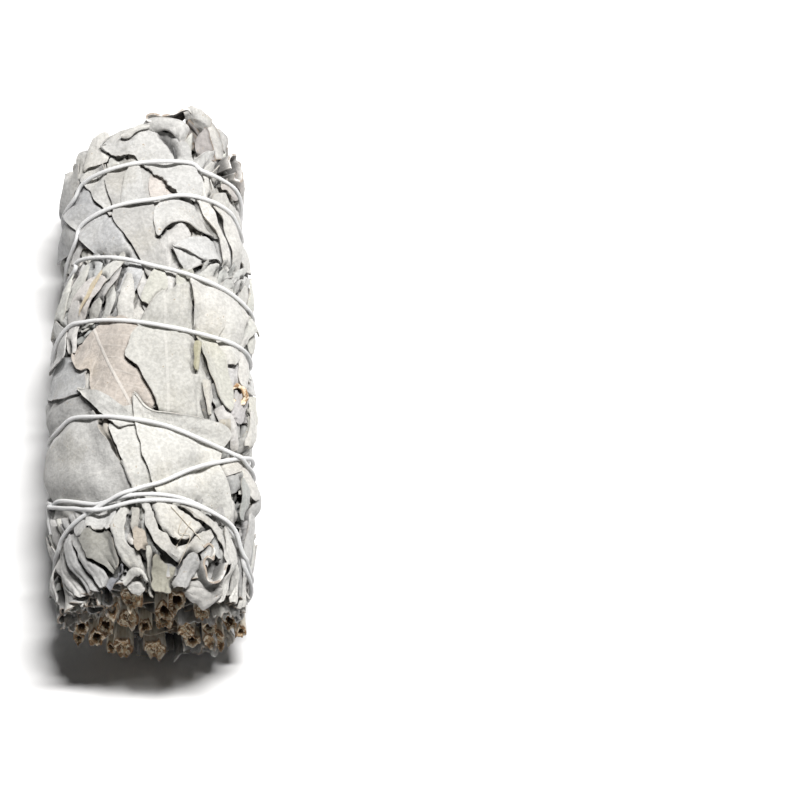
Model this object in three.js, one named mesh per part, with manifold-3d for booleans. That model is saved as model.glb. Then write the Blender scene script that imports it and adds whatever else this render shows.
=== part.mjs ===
// Sage smudge stick: leafy sprigs laid side by side, wrapped in broad leaves and bound with string.
// Millimetres, +Z up. The stick lies along Y with its cut stems towards -Y, and the origin is under
// its middle, on the surface that it lies on.
import * as THREE from 'three';
import { mergeVertices } from 'three/addons/utils/BufferGeometryUtils.js';
import Module from 'manifold-3d';

const wasm = await Module();
wasm.setup();

// Driving dimensions of the bundle.
const HALF_WIDTH = 20.1;      // widest half-width of the stick
const FLATTEN = 0.93;         // height against width
const SUNK = 0.5;             // how far the round underside is pressed flat by the surface
const BUTT_Y = -50;           // where the leaves end at the cut
const TIP_Y = 49;             // where the leaf tips end
const TIP_TAPER = 0.12;
const BUTT_TAPER = 0.06;

const LEAF_T = 0.65;          // thickness of one leaf blade
const GAP = 0.3;              // air between neighbouring pieces
const STRING_R = 0.55;
const STRING_AIR = 0.5;       // air under the string, so its straight steps clear the leaves
const WAIST = 1.6;            // how deep the string bites into the leaves
const WAIST_FLAT = 1.2;       // half-width of the bite's bottom
const WAIST_RAMP = 3.4;       // how far out the leaves come back up
const STRING_FLOOR = 1.85;    // leaves stay this far over the surface where string runs under them
const STRING_Z = 0.75;        // lowest centre height of the string

const rad = THREE.MathUtils.degToRad;
const clamp = THREE.MathUtils.clamp;

// Half-width of the stick at a place along it.
function halfWidth(y) {
  const t = (y - BUTT_Y) / (TIP_Y - BUTT_Y);
  const tip = TIP_TAPER * Math.pow(clamp((t - 0.35) / 0.65, 0, 1), 1.2);
  const butt = BUTT_TAPER * Math.pow(clamp((0.25 - t) / 0.25, 0, 1), 2);
  return HALF_WIDTH * (1 - tip - butt);
}

function axisHeight(y) {
  return FLATTEN * halfWidth(y) - SUNK;
}

// A point under the skin: angle from the top in degrees, place along the stick, depth in mm.
function skinPoint(angle, y, depth) {
  const w = halfWidth(y);
  const a = rad(angle);
  return new THREE.Vector3(
    (w - depth) * Math.sin(a), y, axisHeight(y) + (FLATTEN * w - depth) * Math.cos(a));
}

// The depth at which a point of that angle is at a given height above the surface.
function depthForHeight(angle, y, height) {
  const c = Math.cos(rad(angle));
  if (c > -0.2) return -10;
  return FLATTEN * halfWidth(y) - (axisHeight(y) - height) / -c;
}

// The string's route as [angle, y] points: seven turns up the stick, a long run back, one last turn.
// The angle keeps counting up, 360 degrees for each turn.
const ROUTE = [
  [-84, -28.6], [-66, -29.2], [-39, -32.2], [-26.5, -33.2], [-4, -32.8], [20.5, -33.2], [41, -35],
  [56, -37.8], [67, -39.8], [78, -43.4], [130, -45.4], [180, -45.2], [235, -42.6],
  [288, -39.5], [301.5, -37.8], [331, -34.5], [356, -31.5], [370, -30], [386, -27.2], [403.5, -24.8],
  [442.5, -20], [500, -16.8], [545, -15.2], [600, -15],
  [650.5, -15.8], [672.5, -14.8], [691, -16], [712, -17.5], [730.5, -18.8], [757.5, -21.2],
  [785.5, -23], [811, -22.5], [850, -19.5], [905, -12], [960, -3.5],
  [1021, 4.5], [1043, 4.8], [1079.5, 2.8], [1101, 1.8], [1135, 1], [1159.5, 1.5], [1210, 4],
  [1265, 10], [1320, 15.5], [1381, 17.8], [1389.5, 19.5], [1413.5, 18], [1451.5, 14.5],
  [1489, 12], [1520.5, 10.5], [1575, 10.5], [1630, 13.5], [1685, 18],
  [1742.5, 23.2], [1753.5, 26.8], [1776, 28.8], [1805.5, 30], [1824.5, 31.2], [1863.5, 31],
  [1884.5, 30.2], [1935, 30], [1990, 31], [2045, 32.4],
  [2097, 34], [2113, 36.8], [2149.5, 38], [2187.5, 38.8], [2198.5, 37.5], [2236.5, 36.8],
  [2272, 33], [2300, 24], [2330, 10], [2360, -4], [2395, -18], [2430, -27],
  [2454, -30.5], [2475, -33], [2493.5, -35], [2516, -34.2], [2544, -34.3], [2571.5, -36.8],
  [2592.5, -41.8], [2630, -42.5], [2690, -38], [2745, -33], [2797, -29.4],
];

// Depth field: how deep the next piece has to lie, on a grid of angle and place.
const COLS = 120;
const ROWS = 106;
const ROW_Y = -52;            // y of the first row, with one row for each millimetre
const COL_DEG = 360 / COLS;
const field = new Float64Array(COLS * ROWS);

const wrapCol = (c) => ((c % COLS) + COLS) % COLS;
const wrapRow = (r) => clamp(r, 0, ROWS - 1);

// Points every millimetre or so along the string's route.
function routeSamples() {
  const points = [];
  for (let i = 0; i + 1 < ROUTE.length; i++) {
    const [a0, y0] = ROUTE[i];
    const [a1, y1] = ROUTE[i + 1];
    const steps = Math.ceil(Math.abs(a1 - a0) / COL_DEG);
    for (let k = 0; k < steps; k++) {
      points.push([a0 + (a1 - a0) * k / steps, y0 + (y1 - y0) * k / steps]);
    }
  }
  return points;
}

// Fills the field with the string's bites and with the flat that the surface presses.
function startField() {
  const near = new Float64Array(COLS * ROWS).fill(99);
  const reach = WAIST_FLAT + WAIST_RAMP;
  for (const [a, y] of routeSamples()) {
    const col = Math.round(a / COL_DEG);
    const row = Math.round(y - ROW_Y);
    for (let dc = -6; dc <= 6; dc++) {
      for (let dr = -6; dr <= 6; dr++) {
        const across = ((col + dc) * COL_DEG - a) * rad(1) * HALF_WIDTH;
        const along = row + dr + ROW_Y - y;
        const cell = wrapRow(row + dr) * COLS + wrapCol(col + dc);
        near[cell] = Math.min(near[cell], Math.hypot(across, along));
      }
    }
  }
  for (let r = 0; r < ROWS; r++) {
    for (let c = 0; c < COLS; c++) {
      const bite = clamp((reach - near[r * COLS + c]) / WAIST_RAMP, 0, 1);
      const angle = c * COL_DEG;
      const y = r + ROW_Y;
      const floor = depthForHeight(angle, y, STRING_FLOOR * bite);
      field[r * COLS + c] = Math.max(WAIST * bite, floor);
    }
  }
}

// The deepest value of the field in a window round a place.
function deepest(angle, y, spanDeg, spanY) {
  const c0 = Math.floor((angle - spanDeg) / COL_DEG);
  const c1 = Math.ceil((angle + spanDeg) / COL_DEG);
  const r0 = Math.floor(y - spanY - ROW_Y);
  const r1 = Math.ceil(y + spanY - ROW_Y);
  let most = -1;
  for (let r = r0; r <= r1; r++) {
    for (let c = c0; c <= c1; c++) most = Math.max(most, field[wrapRow(r) * COLS + wrapCol(c)]);
  }
  return most;
}

// A smooth curve through [angle, y] points, read at u from 0 to 1.
function edgeCurve(points) {
  const curve = new THREE.CatmullRomCurve3(points.map(([a, y]) => new THREE.Vector3(a, y, 0)),
    false, 'centripetal');
  return (u) => {
    const p = curve.getPoint(u);
    return [p.x, p.y];
  };
}

function material(colour, roughness) {
  return new THREE.MeshStandardMaterial({ color: colour, roughness, metalness: 0 });
}

function addMesh(group, name, geometry, colour, roughness = 0.9) {
  geometry.computeVertexNormals();
  const mesh = new THREE.Mesh(geometry, material(colour, roughness));
  mesh.name = name;
  group.add(mesh);
}

// Geometry to solid, and back.
function toSolid(geometry) {
  const plain = geometry.clone();
  plain.deleteAttribute('normal');
  plain.deleteAttribute('uv');
  const merged = mergeVertices(plain, 1e-4);
  return new wasm.Manifold(new wasm.Mesh({
    numProp: 3,
    vertProperties: new Float32Array(merged.attributes.position.array),
    triVerts: new Uint32Array(merged.index.array),
  }));
}

function toGeometry(solid) {
  const mesh = solid.getMesh();
  const points = [];
  for (let i = 0; i < mesh.vertProperties.length; i += 3) {
    points.push(new THREE.Vector3().fromArray(mesh.vertProperties, i));
  }
  let faces = [];
  for (let i = 0; i < mesh.triVerts.length; i += 3) faces.push([...mesh.triVerts.slice(i, i + 3)]);
  faces = closeShortEdges(points, faces);
  const geometry = new THREE.BufferGeometry();
  geometry.setAttribute('position', new THREE.Float32BufferAttribute(points.flatMap((p) => p.toArray()), 3));
  geometry.setIndex(faces.flat());
  return geometry;
}

const SHORTEST_EDGE = 0.05;   // shorter edges, left where two cut faces nearly meet, are closed up

// Draws the two ends of each short edge together, and drops the faces that this leaves flat.
function closeShortEdges(points, faces) {
  for (;;) {
    let from = -1;
    let to = -1;
    for (const face of faces) {
      for (let k = 0; k < 3 && from < 0; k++) {
        const [a, b] = [face[k], face[(k + 1) % 3]];
        if (points[a].distanceTo(points[b]) < SHORTEST_EDGE && collapsible(faces, a, b)) [from, to] = [a, b];
      }
      if (from >= 0) break;
    }
    if (from < 0) return faces;
    faces = faces
      .map((face) => face.map((v) => (v === from ? to : v)))
      .filter(([a, b, c]) => a !== b && b !== c && c !== a);
  }
}

// An edge can close only where its ends share no neighbours but the two across it.
function collapsible(faces, a, b) {
  const near = (v) => new Set(faces.filter((f) => f.includes(v)).flat());
  const besideA = near(a);
  const shared = [...near(b)].filter((v) => v !== a && v !== b && besideA.has(v));
  return shared.length === 2;
}

// A boolean can leave loose scraps behind: the largest piece is the part.
function largest(solid) {
  const pieces = solid.decompose();
  return pieces.sort((a, b) => b.volume() - a.volume())[0];
}

// A closed blade from two grids of points, its outer and inner face, alike in their triangles.
function bladeGeometry(outer, inner, rows, cols) {
  const position = [];
  for (const face of [outer, inner]) face.forEach((p) => position.push(p.x, p.y, p.z));
  const count = rows * cols;
  const index = [];
  for (let i = 0; i + 1 < rows; i++) {
    for (let j = 0; j + 1 < cols; j++) {
      const a = i * cols + j;
      const b = a + 1;
      const c = a + cols;
      const d = c + 1;
      index.push(a, b, d, a, d, c);
      index.push(count + a, count + d, count + b, count + a, count + c, count + d);
    }
  }
  const rim = [];
  for (let j = 0; j < cols; j++) rim.push(j);
  for (let i = 1; i < rows; i++) rim.push(i * cols + cols - 1);
  for (let j = cols - 2; j >= 0; j--) rim.push((rows - 1) * cols + j);
  for (let i = rows - 2; i > 0; i--) rim.push(i * cols);
  rim.forEach((a, k) => {
    const b = rim[(k + 1) % rim.length];
    index.push(a, count + a, count + b, a, count + b, b);
  });
  const geometry = new THREE.BufferGeometry();
  geometry.setAttribute('position', new THREE.Float32BufferAttribute(position, 3));
  geometry.setIndex(index);
  return geometry;
}

// Turns a closed blade's faces outwards, whichever way its edges were listed.
function facingOut(geometry) {
  const p = geometry.attributes.position;
  const index = geometry.index.array;
  let volume = 0;
  const [a, b, c] = [new THREE.Vector3(), new THREE.Vector3(), new THREE.Vector3()];
  for (let i = 0; i < index.length; i += 3) {
    a.fromBufferAttribute(p, index[i]);
    b.fromBufferAttribute(p, index[i + 1]);
    c.fromBufferAttribute(p, index[i + 2]);
    volume += a.dot(b.cross(c));
  }
  if (volume < 0) {
    for (let i = 0; i < index.length; i += 3) [index[i], index[i + 1]] = [index[i + 1], index[i]];
  }
  return geometry;
}

// Wrap leaves, outermost first. Each is a blade between two edges, from its base to its tip, and
// laid under whatever is already there. The edges are [angle, y] points on the skin. A whole leaf
// fills its edges to the corners; the others are rounded off to their base and tip.
const WRAP_LEAVES = [
  { name: 'crown', colour: 0xdcd9d2,
    left: [[28, 31.5], [10, 34.6], [-4, 38.4], [-18, 40.8], [-31, 43.6]],
    right: [[35, 37], [26, 40.6], [12, 43.8], [-6, 45.6], [-28, 45.4]] },
  { name: 'grey_shoulder', colour: 0xc9cac9,
    left: [[-82, 26], [-80, 32], [-78, 37], [-72, 41.5]],
    right: [[-27, 28.6], [-38, 33.4], [-50, 37.6], [-60, 41.4]] },
  { name: 'pointed_fold', colour: 0xe2e0da,
    left: [[46, 23.4], [33, 24.2], [19, 24.6], [9, 22]],
    right: [[45, 31.4], [32, 31.6], [18, 31], [6.5, 26]] },
  { name: 'right_shoulder', colour: 0xdad9d3,
    left: [[92, 21.6], [80, 21.6], [69, 22.4], [62, 26], [50, 29.6]],
    right: [[96, 33], [84, 34.6], [72, 35], [62, 33.6], [52, 32]] },
  { name: 'folded_tip_leaf', colour: 0xe0ded6,
    left: [[92, 14.6], [72, 15], [52, 16.2], [41, 17.4], [28, 15], [15, 19.6]],
    right: [[92, 24.6], [74, 25.4], [58, 24.8], [44, 23.6], [30, 22], [16, 20.6]] },
  { name: 'warm_leaf', colour: 0xcfc4bb,
    left: [[-44, -1.6], [-41, -5], [-39, -10], [-24, -13.2], [-7, -16.8]],
    right: [[-33, 1.6], [-19, 3.6], [-7, 1.4], [-8, -4.4], [3, -14]] },
  { name: 'grey_side_leaf', colour: 0xbfc0c1,
    left: [[-97, 5], [-80, 3.6], [-62, 0.2], [-48, -1.6]],
    right: [[-97, -6], [-76, -7.2], [-58, -9.2], [-40, -10.2]] },
  { name: 'long_strip', colour: 0xd4d4d2,
    left: [[-55, 29.4], [-48, 25.4], [-36, 19.6], [-26, 13.4], [-19, 6.6]],
    right: [[-25, 29.6], [-18, 24.6], [-9, 20.4], [-3, 15.6], [-3, 9.6]] },
  { name: 'slim_strip', colour: 0xd2d3d3,
    left: [[-62, 43.6], [-50, 38], [-38, 33.4], [-24, 28.8]],
    right: [[-36, 45], [-30, 40], [-22, 34], [-14, 29]] },
  { name: 'cool_leaf', colour: 0xd9dadc,
    left: [[-16, 39], [-22, 31], [-16, 23.8], [-7, 18.6], [1, 13.4]],
    right: [[2, 39], [8, 32], [15, 26], [20, 19.6], [17, 13.8]] },
  { name: 'pale_leaf', colour: 0xdedfd4,
    left: [[2, 12.4], [-5, 4], [-9, -4], [2, -11], [9, -18.4]],
    right: [[26, 12.6], [30, 5], [35, -3], [40, -9.6], [30, -18]] },
  { name: 'right_upper', colour: 0xd6d6d0,
    left: [[30, 39.6], [33, 31], [37, 25], [40, 19]],
    right: [[66, 41], [67, 34], [68, 27], [66, 20]] },
  { name: 'right_flank', colour: 0xd8d8d2,
    left: [[27, 13], [31, 4], [43, -1], [56, -7]],
    right: [[88, 14.5], [90, 8], [90, 1], [88, -5]] },
  { name: 'left_mid', whole: true, colour: 0xcbcccb,
    left: [[-84, -7.6], [-68, -8.6], [-50, -9.8], [-34, -11]],
    right: [[-88, -17], [-70, -17.6], [-48, -16.8], [-26, -16.4]] },
  { name: 'largest_leaf', colour: 0xe1e1da,
    left: [[-6, -17.6], [-3, -23], [3, -29], [9, -36]],
    right: [[46, -18.4], [46, -25], [51, -31], [56, -36.4]] },
  { name: 'left_low', colour: 0xd7d8d6,
    left: [[-72, -15.6], [-70, -21], [-67, -27], [-62, -32.6]],
    right: [[-32, -16.4], [-22, -22], [-12, -27.6], [-3, -33.4]] },
  { name: 'strip_low', colour: 0xdcdbd4,
    left: [[-32, -13.4], [-26, -19], [-15, -26], [-5, -33]],
    right: [[-4, -15.6], [-3, -21], [2, -27], [8, -33]] },
  { name: 'crescent', colour: 0xe0dfd9,
    left: [[-11, -35.6], [-8, -39.4], [1, -44.6], [16, -46.4], [30, -43.6]],
    right: [[4, -35.6], [6, -38.6], [11, -41.6], [20, -42.2], [30, -39.4]] },
  { name: 'butt_left', colour: 0xc5c5c3,
    left: [[-86, -33], [-84, -38], [-80, -43], [-76, -47.6]],
    right: [[-16, -35.6], [-17, -40], [-20, -44], [-24, -47.6]] },
  { name: 'butt_right', colour: 0xd2d2ce,
    left: [[30, -36], [34, -40], [38, -44], [42, -48]],
    right: [[88, -27], [86, -34], [84, -41], [80, -48]] },
  { name: 'right_low', colour: 0xcfcfca,
    left: [[38, -2], [41, -9], [45, -16], [50, -24]],
    right: [[96, -3], [98, -10], [98, -18], [94, -27]] },
  { name: 'under_right_low', whole: true, colour: 0xd0d0cb,
    left: [[84, -12], [84, -24], [86, -36], [90, -47]],
    right: [[152, -10], [156, -22], [156, -34], [152, -46]] },
  { name: 'under_right_top', whole: true, colour: 0xd3d3cd,
    left: [[84, 41], [88, 28], [86, 10], [90, -10]],
    right: [[140, 42], [150, 28], [156, 10], [150, -12]] },
  { name: 'under_left_low', whole: true, colour: 0xcacac8,
    left: [[208, -46], [204, -36], [204, -24], [208, -12]],
    right: [[280, -46], [284, -36], [286, -26], [282, -14]] },
  { name: 'under_left_top', whole: true, colour: 0xcdcdca,
    left: [[206, -8], [204, 10], [208, 26], [218, 42]],
    right: [[284, -10], [297, 6], [301, 24], [290, 39]] },
];

// The two leaves that the stick lies on, with the pressed flat along their middle.
const PRESSED = 0.7;          // what would hang less than this over the surface is pressed onto it
const RESTING_LEAVES = [
  { name: 'resting_low', whole: true, rests: true, colour: 0xcbcbc6,
    left: [[146, -46], [146, -34], [146, -20], [148, -6]],
    right: [[214, -46], [214, -34], [214, -20], [212, -6]] },
  { name: 'resting_top', whole: true, rests: true, colour: 0xcdcdc8,
    left: [[150, -9], [148, 8], [150, 26], [154, 43]],
    right: [[210, -9], [212, 8], [210, 26], [206, 43]] },
];

const LEAF_ROW_MM = 3.6;      // spacing of a blade's rows along it
const LEAF_COL_DEG = 9.5;     // and of its columns across it

const BASE_ROUND = [0.18, 0.72];  // share of a blade that narrows to its base, and how wide it ends
const TIP_ROUND = [0.3, 0.38];    // the same towards its tip
const EDGE_WAVE = 0.035;          // waves of a blade's edges, against its width

// Share of a blade's full width at u: narrower to the base and the tip, with waved edges.
function leafWidth(u) {
  const narrow = ([reach, end], from) => end + (1 - end) * Math.sin(Math.PI / 2 * clamp(from / reach, 0, 1));
  return Math.min(narrow(BASE_ROUND, u), narrow(TIP_ROUND, 1 - u)) + EDGE_WAVE * Math.sin(19 * u);
}

// Lays one blade under what is there, then lowers the field under it.
function wrapLeaf(spec) {
  const left = edgeCurve(spec.left);
  const right = edgeCurve(spec.right);
  const place = (u, v) => {
    const [a0, y0] = left(u);
    const [a1, y1] = right(u);
    const across = spec.whole ? v : 0.5 + (v - 0.5) * leafWidth(u);
    return [a0 + (a1 - a0) * across, y0 + (y1 - y0) * across];
  };
  const span = (p, q) => Math.hypot((p[0] - q[0]) * rad(1) * HALF_WIDTH, p[1] - q[1]);
  let length = 0;
  let width = 0;
  for (let k = 0; k < 4; k++) {
    length += span(place(k / 4, 0.5), place((k + 1) / 4, 0.5));
    width = Math.max(width, span(place((k + 1) / 5, 0), place((k + 1) / 5, 1)));
  }
  const rows = Math.max(4, Math.round(length / LEAF_ROW_MM) + 1);
  const cols = Math.max(3, Math.round(width / (LEAF_COL_DEG * rad(1) * HALF_WIDTH)) + 1);
  const depths = [];
  const outer = [];
  const inner = [];
  const at = (i, j) => place(i / (rows - 1), j / (cols - 1));
  for (let i = 0; i < rows; i++) {
    for (let j = 0; j < cols; j++) {
      const p = at(i, j);
      let spanDeg = 1;
      let spanY = 1;
      for (const [di, dj] of [[1, 0], [-1, 0], [0, 1], [0, -1], [1, 1], [-1, -1]]) {
        const q = at(clamp(i + di, 0, rows - 1), clamp(j + dj, 0, cols - 1));
        spanDeg = Math.max(spanDeg, Math.abs(q[0] - p[0]));
        spanY = Math.max(spanY, Math.abs(q[1] - p[1]));
      }
      const depth = deepest(p[0], p[1], spanDeg * 0.8, spanY * 0.8);
      depths.push(depth);
      const skin = skinPoint(p[0], p[1], depth);
      if (spec.rests && skin.z < PRESSED) skin.z = 0;
      outer.push(skin);
      inner.push(skinPoint(p[0], p[1], depth + LEAF_T));
    }
  }
  lowerField(place, depths, rows, cols);
  return facingOut(bladeGeometry(outer, inner, rows, cols));
}

// Under a blade, and a little past its edge, the next piece starts below it.
function lowerField(place, depths, rows, cols) {
  const next = new Map();
  const fine = 3;
  for (let i = 0; i <= (rows - 1) * fine; i++) {
    for (let j = 0; j <= (cols - 1) * fine; j++) {
      const [a, y] = place(i / ((rows - 1) * fine), j / ((cols - 1) * fine));
      const i0 = Math.min(rows - 2, Math.floor(i / fine));
      const j0 = Math.min(cols - 2, Math.floor(j / fine));
      const corners = [0, 1, cols, cols + 1].map((k) => depths[i0 * cols + j0 + k]);
      const depth = Math.max(...corners) + LEAF_T + GAP;
      const col = Math.round(a / COL_DEG);
      const row = Math.round(y - ROW_Y);
      for (let dc = -1; dc <= 1; dc++) {
        for (let dr = -1; dr <= 1; dr++) {
          const cell = wrapRow(row + dr) * COLS + wrapCol(col + dc);
          next.set(cell, Math.max(next.get(cell) ?? 0, depth));
        }
      }
    }
  }
  for (const [cell, depth] of next) field[cell] = Math.max(field[cell], depth);
}

// Stems: where the cut end shows, [x, y, z], and its radius.
const STEMS = [
  [-3, -49.6, 27, 1.4], [-7.2, -49.8, 22.6, 1.5],
  [-1.6, -49.8, 13, 1.5], [-4.6, -49.6, 17, 1.35], [2.6, -49.8, 20.6, 1.5],
  [2.2, -49.6, 15.8, 1.3], [5.2, -49.4, 25, 1.5], [5.9, -50, 11, 1.4],
  [7, -50.8, 7.2, 1.25], [10.4, -50, 12.4, 1.25], [13.8, -49.6, 14.4, 1.3],
  [11.2, -51.2, 8.4, 1.3], [-0.4, -51.2, 5, 1.5], [-6.2, -51.2, 6, 1.5],
  [-11, -50.4, 9.4, 1.4], [-13.6, -49.6, 13, 1.3], [-9, -49.8, 14.2, 1.4],
  [9.4, -49.4, 18.6, 1.2],
];
const STEM_LENGTH = 44;
const STEM_SIDES = 7;
const BORE_RUN_OUT = 6;       // how far the hole for a stem runs out past its cut end
const PITH_DEPTH = 3;
const PITH_SHARE = 0.42;      // radius of the pith hole against the stem's
const STEM_LEAN = 0.007;      // how far a stem leans to the middle for each mm off it
const MIDDLE_Z = 17.5;

// The turned outline of a stem, cut end first: solid, or with the hollow pith.
function stemProfile(radius, extra, hollow) {
  const r = radius + extra;
  const profile = hollow
    ? [[0, PITH_DEPTH], [r * PITH_SHARE, PITH_DEPTH], [r * PITH_SHARE, 0], [r, 0]]
    : [[0, -BORE_RUN_OUT], [r, -BORE_RUN_OUT]];
  profile.push([r * 0.75 + extra * 0.25, STEM_LENGTH + extra]);
  profile.push([0, STEM_LENGTH + extra]);
  return profile.map(([x, y]) => new THREE.Vector2(x, y));
}

function stemGeometry([x, y, z, radius], extra, hollow) {
  const geometry = new THREE.LatheGeometry(stemProfile(radius, extra, hollow), STEM_SIDES);
  const lean = new THREE.Vector3(-x * STEM_LEAN, 1, (MIDDLE_Z - z) * STEM_LEAN);
  lean.normalize();
  const turn = new THREE.Quaternion().setFromUnitVectors(new THREE.Vector3(0, 1, 0), lean);
  geometry.applyQuaternion(turn);
  geometry.translate(x, y, z);
  return geometry;
}

// Inner leaves: bunches packed side by side round these middles, [x, z].
const BUNCHES = [
  [-4.2, 25.4], [4.6, 25.6], [-11.2, 20.8], [-3.6, 19.6], [4.2, 18.6], [10.2, 19],
  [-12, 13], [-4.6, 14], [3.8, 12.4], [10.6, 11.8], [-6.4, 8], [4.4, 7.4],
];
const BUNCH_SIDES = 10;
const BUNCH_ROWS = [-48.2, -45.6, -42, -36, -16, 8, 30, 39, 43.5];
const BUTT_ROWS = 4;          // rows at the cut end that show folds
const TIP_ROWS = 2;           // and at the tip
const BUNCH_AIR = 0.25;       // half the air between two bunches
const BUNCH_WINDOW = 23;      // angle on both sides of a corner that has to be clear of leaves
const END_WINDOW = 8;         // and at the cut end, where fewer leaves lie over each other
const CURL_FROM_X = -2;       // bunches right of this and above the next line end lower, to leave
const CURL_FROM_Z = 18;       // room for the curled leaves at the tip
const CURL_ROOM = 4.4;
const FOLD = 0.7;             // depth of the finger folds at the cut end

// How far a bunch reaches from its middle in one direction of the cross-section, at a place along
// the stick, clear of all that lies between two other places.
function bunchReach(index, direction, y, before, after, window) {
  const [cx, cz] = BUNCHES[index];
  const dx = Math.sin(direction);
  const dz = Math.cos(direction);
  let reach = 60;
  BUNCHES.forEach(([x, z], other) => {
    if (other === index) return;
    const apart = Math.hypot(x - cx, z - cz);
    const facing = ((x - cx) * dx + (z - cz) * dz) / apart;
    if (facing > 0.05) reach = Math.min(reach, (apart / 2 - BUNCH_AIR) / facing);
  });
  const w = halfWidth(y);
  const h = axisHeight(y);
  const clear = (r) => {
    const x = cx + dx * r;
    const z = cz + dz * r - h;
    const angle = THREE.MathUtils.radToDeg(Math.atan2(x / w, z / (FLATTEN * w)));
    const depth = (1 - Math.hypot(x / w, z / (FLATTEN * w))) * w * FLATTEN;
    const need = deepest(angle, (before + after) / 2, window, (after - before) / 2 + 0.5);
    return depth > Math.max(need, 0.3) + 0.15;
  };
  let low = 0;
  let high = reach;
  for (let k = 0; k < 14; k++) {
    const mid = (low + high) / 2;
    if (clear(mid)) low = mid;
    else high = mid;
  }
  return low;
}

// Ring shares of a bunch's end faces, from the rim inwards, and their lift, for the rolled look.
const END_RINGS = [[0.72, 1], [0.42, -0.9]];

function bunchGeometry(index) {
  const [cx, cz] = BUNCHES[index];
  const short = cx > CURL_FROM_X && cz > CURL_FROM_Z ? CURL_ROOM : 0;
  const last = BUNCH_ROWS.length - 1;
  const rows = BUNCH_ROWS.map((y, row) => {
    const before = BUNCH_ROWS[Math.max(0, row - 1)];
    const after = BUNCH_ROWS[Math.min(last, row + 1)];
    const window = row === 0 ? END_WINDOW : BUNCH_WINDOW;
    const folded = row < BUTT_ROWS || row > last - TIP_ROWS;
    const lower = short * clamp((row - last + TIP_ROWS) / TIP_ROWS, 0, 1);
    const ring = [];
    for (let k = 0; k < BUNCH_SIDES; k++) {
      const direction = 2 * Math.PI * k / BUNCH_SIDES;
      const fold = folded ? FOLD * (k % 2) : 0;
      const r = Math.max(0.8, bunchReach(index, direction, y, before, after, window) - fold);
      const edge = row === 0 || row === last ? 0.9 * Math.sin(2.3 * index + 2.1 * k) : 0;
      ring.push([cx + Math.sin(direction) * r, y + edge - lower, cz + Math.cos(direction) * r]);
    }
    return ring;
  });
  const capped = (ring, out) => END_RINGS.map(([share, lift], k) => ring.map(([x, y, z]) => [
    cx + (x - cx) * share, y + out * lift + 0.3 * Math.sin(index + k), cz + (z - cz) * share]));
  const butt = capped(rows[0], -0.8).reverse();
  const tip = capped(rows[last], 0.9);
  return loft([...butt, ...rows, ...tip]);
}

// The room that a bunch's standing leaf tips may fill.
function tipRoom(index) {
  const [cx, cz] = BUNCHES[index];
  return loft([36, 52].map((y) => {
    const ring = [];
    for (let k = 0; k < BUNCH_SIDES; k++) {
      const direction = 2 * Math.PI * k / BUNCH_SIDES;
      const r = Math.max(0.3, bunchReach(index, direction, 45, 37, 50, BUNCH_WINDOW) - BUNCH_AIR);
      ring.push([cx + Math.sin(direction) * r, y, cz + Math.cos(direction) * r]);
    }
    return ring;
  }));
}

// A closed solid through rings of points, with a fan over each end.
function loft(rings) {
  const position = rings.flat(2);
  const index3 = [];
  const n = rings[0].length;
  for (let i = 0; i + 1 < rings.length; i++) {
    for (let k = 0; k < n; k++) {
      const a = i * n + k;
      const b = i * n + (k + 1) % n;
      index3.push(a, b, b + n, a, b + n, a + n);
    }
  }
  const centre = (ring) => ring.reduce((s, p) => [s[0] + p[0] / n, s[1] + p[1] / n, s[2] + p[2] / n],
    [0, 0, 0]);
  position.push(...centre(rings[0]), ...centre(rings[rings.length - 1]));
  const first = rings.length * n;
  for (let k = 0; k < n; k++) {
    index3.push(first, (k + 1) % n, k);
    index3.push(first + 1, first - n + k, first - n + (k + 1) % n);
  }
  const geometry = new THREE.BufferGeometry();
  geometry.setAttribute('position', new THREE.Float32BufferAttribute(position, 3));
  geometry.setIndex(index3);
  return facingOut(geometry);
}

// Leaf tips that stand up out of the bunches: [bunch, x, y of the foot, z, height, width, turn].
const TIP_BLADES = [
  [0, -6.4, 39, 26.4, 7, 8, 20], [0, -3, 39, 25, 6.2, 6, -10], [2, -12.6, 39, 22.8, 7, 8, 62],
  [2, -10.6, 39, 20, 6, 7, 35], [3, -3.4, 39, 22.4, 6.4, 7, 15], [4, 5, 36, 19.6, 6, 7, -12],
  [6, -12.6, 39, 12.8, 7, 8, 95], [7, -5.6, 39, 14.4, 8, 8, 70], [8, 4.4, 39, 12, 7.5, 8, -40],
  [9, 12.2, 39, 12, 7.6, 8, -80], [10, -6.6, 39, 6.4, 6.6, 8, 150], [11, 4.6, 39, 5.6, 7, 8, 205],
  [5, 11.6, 36, 20.6, 6, 7, -50],
];
const TIP_BLADE_T = 0.8;

// One standing leaf tip: a pointed oval outline, extruded to the thickness of a blade.
function tipBlade([, x, y, z, height, width, turn]) {
  const shape = new THREE.Shape();
  shape.moveTo(-width / 2, 0);
  shape.quadraticCurveTo(-width * 0.55, height * 0.62, -width * 0.1, height);
  shape.quadraticCurveTo(width * 0.5, height * 0.8, width / 2, 0);
  shape.closePath();
  const geometry = new THREE.ExtrudeGeometry(shape,
    { depth: TIP_BLADE_T, bevelEnabled: false, curveSegments: 3 });
  geometry.translate(0, 0, -TIP_BLADE_T / 2);
  geometry.rotateY(rad(turn));
  geometry.translate(x, y, z);
  return geometry;
}

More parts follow.
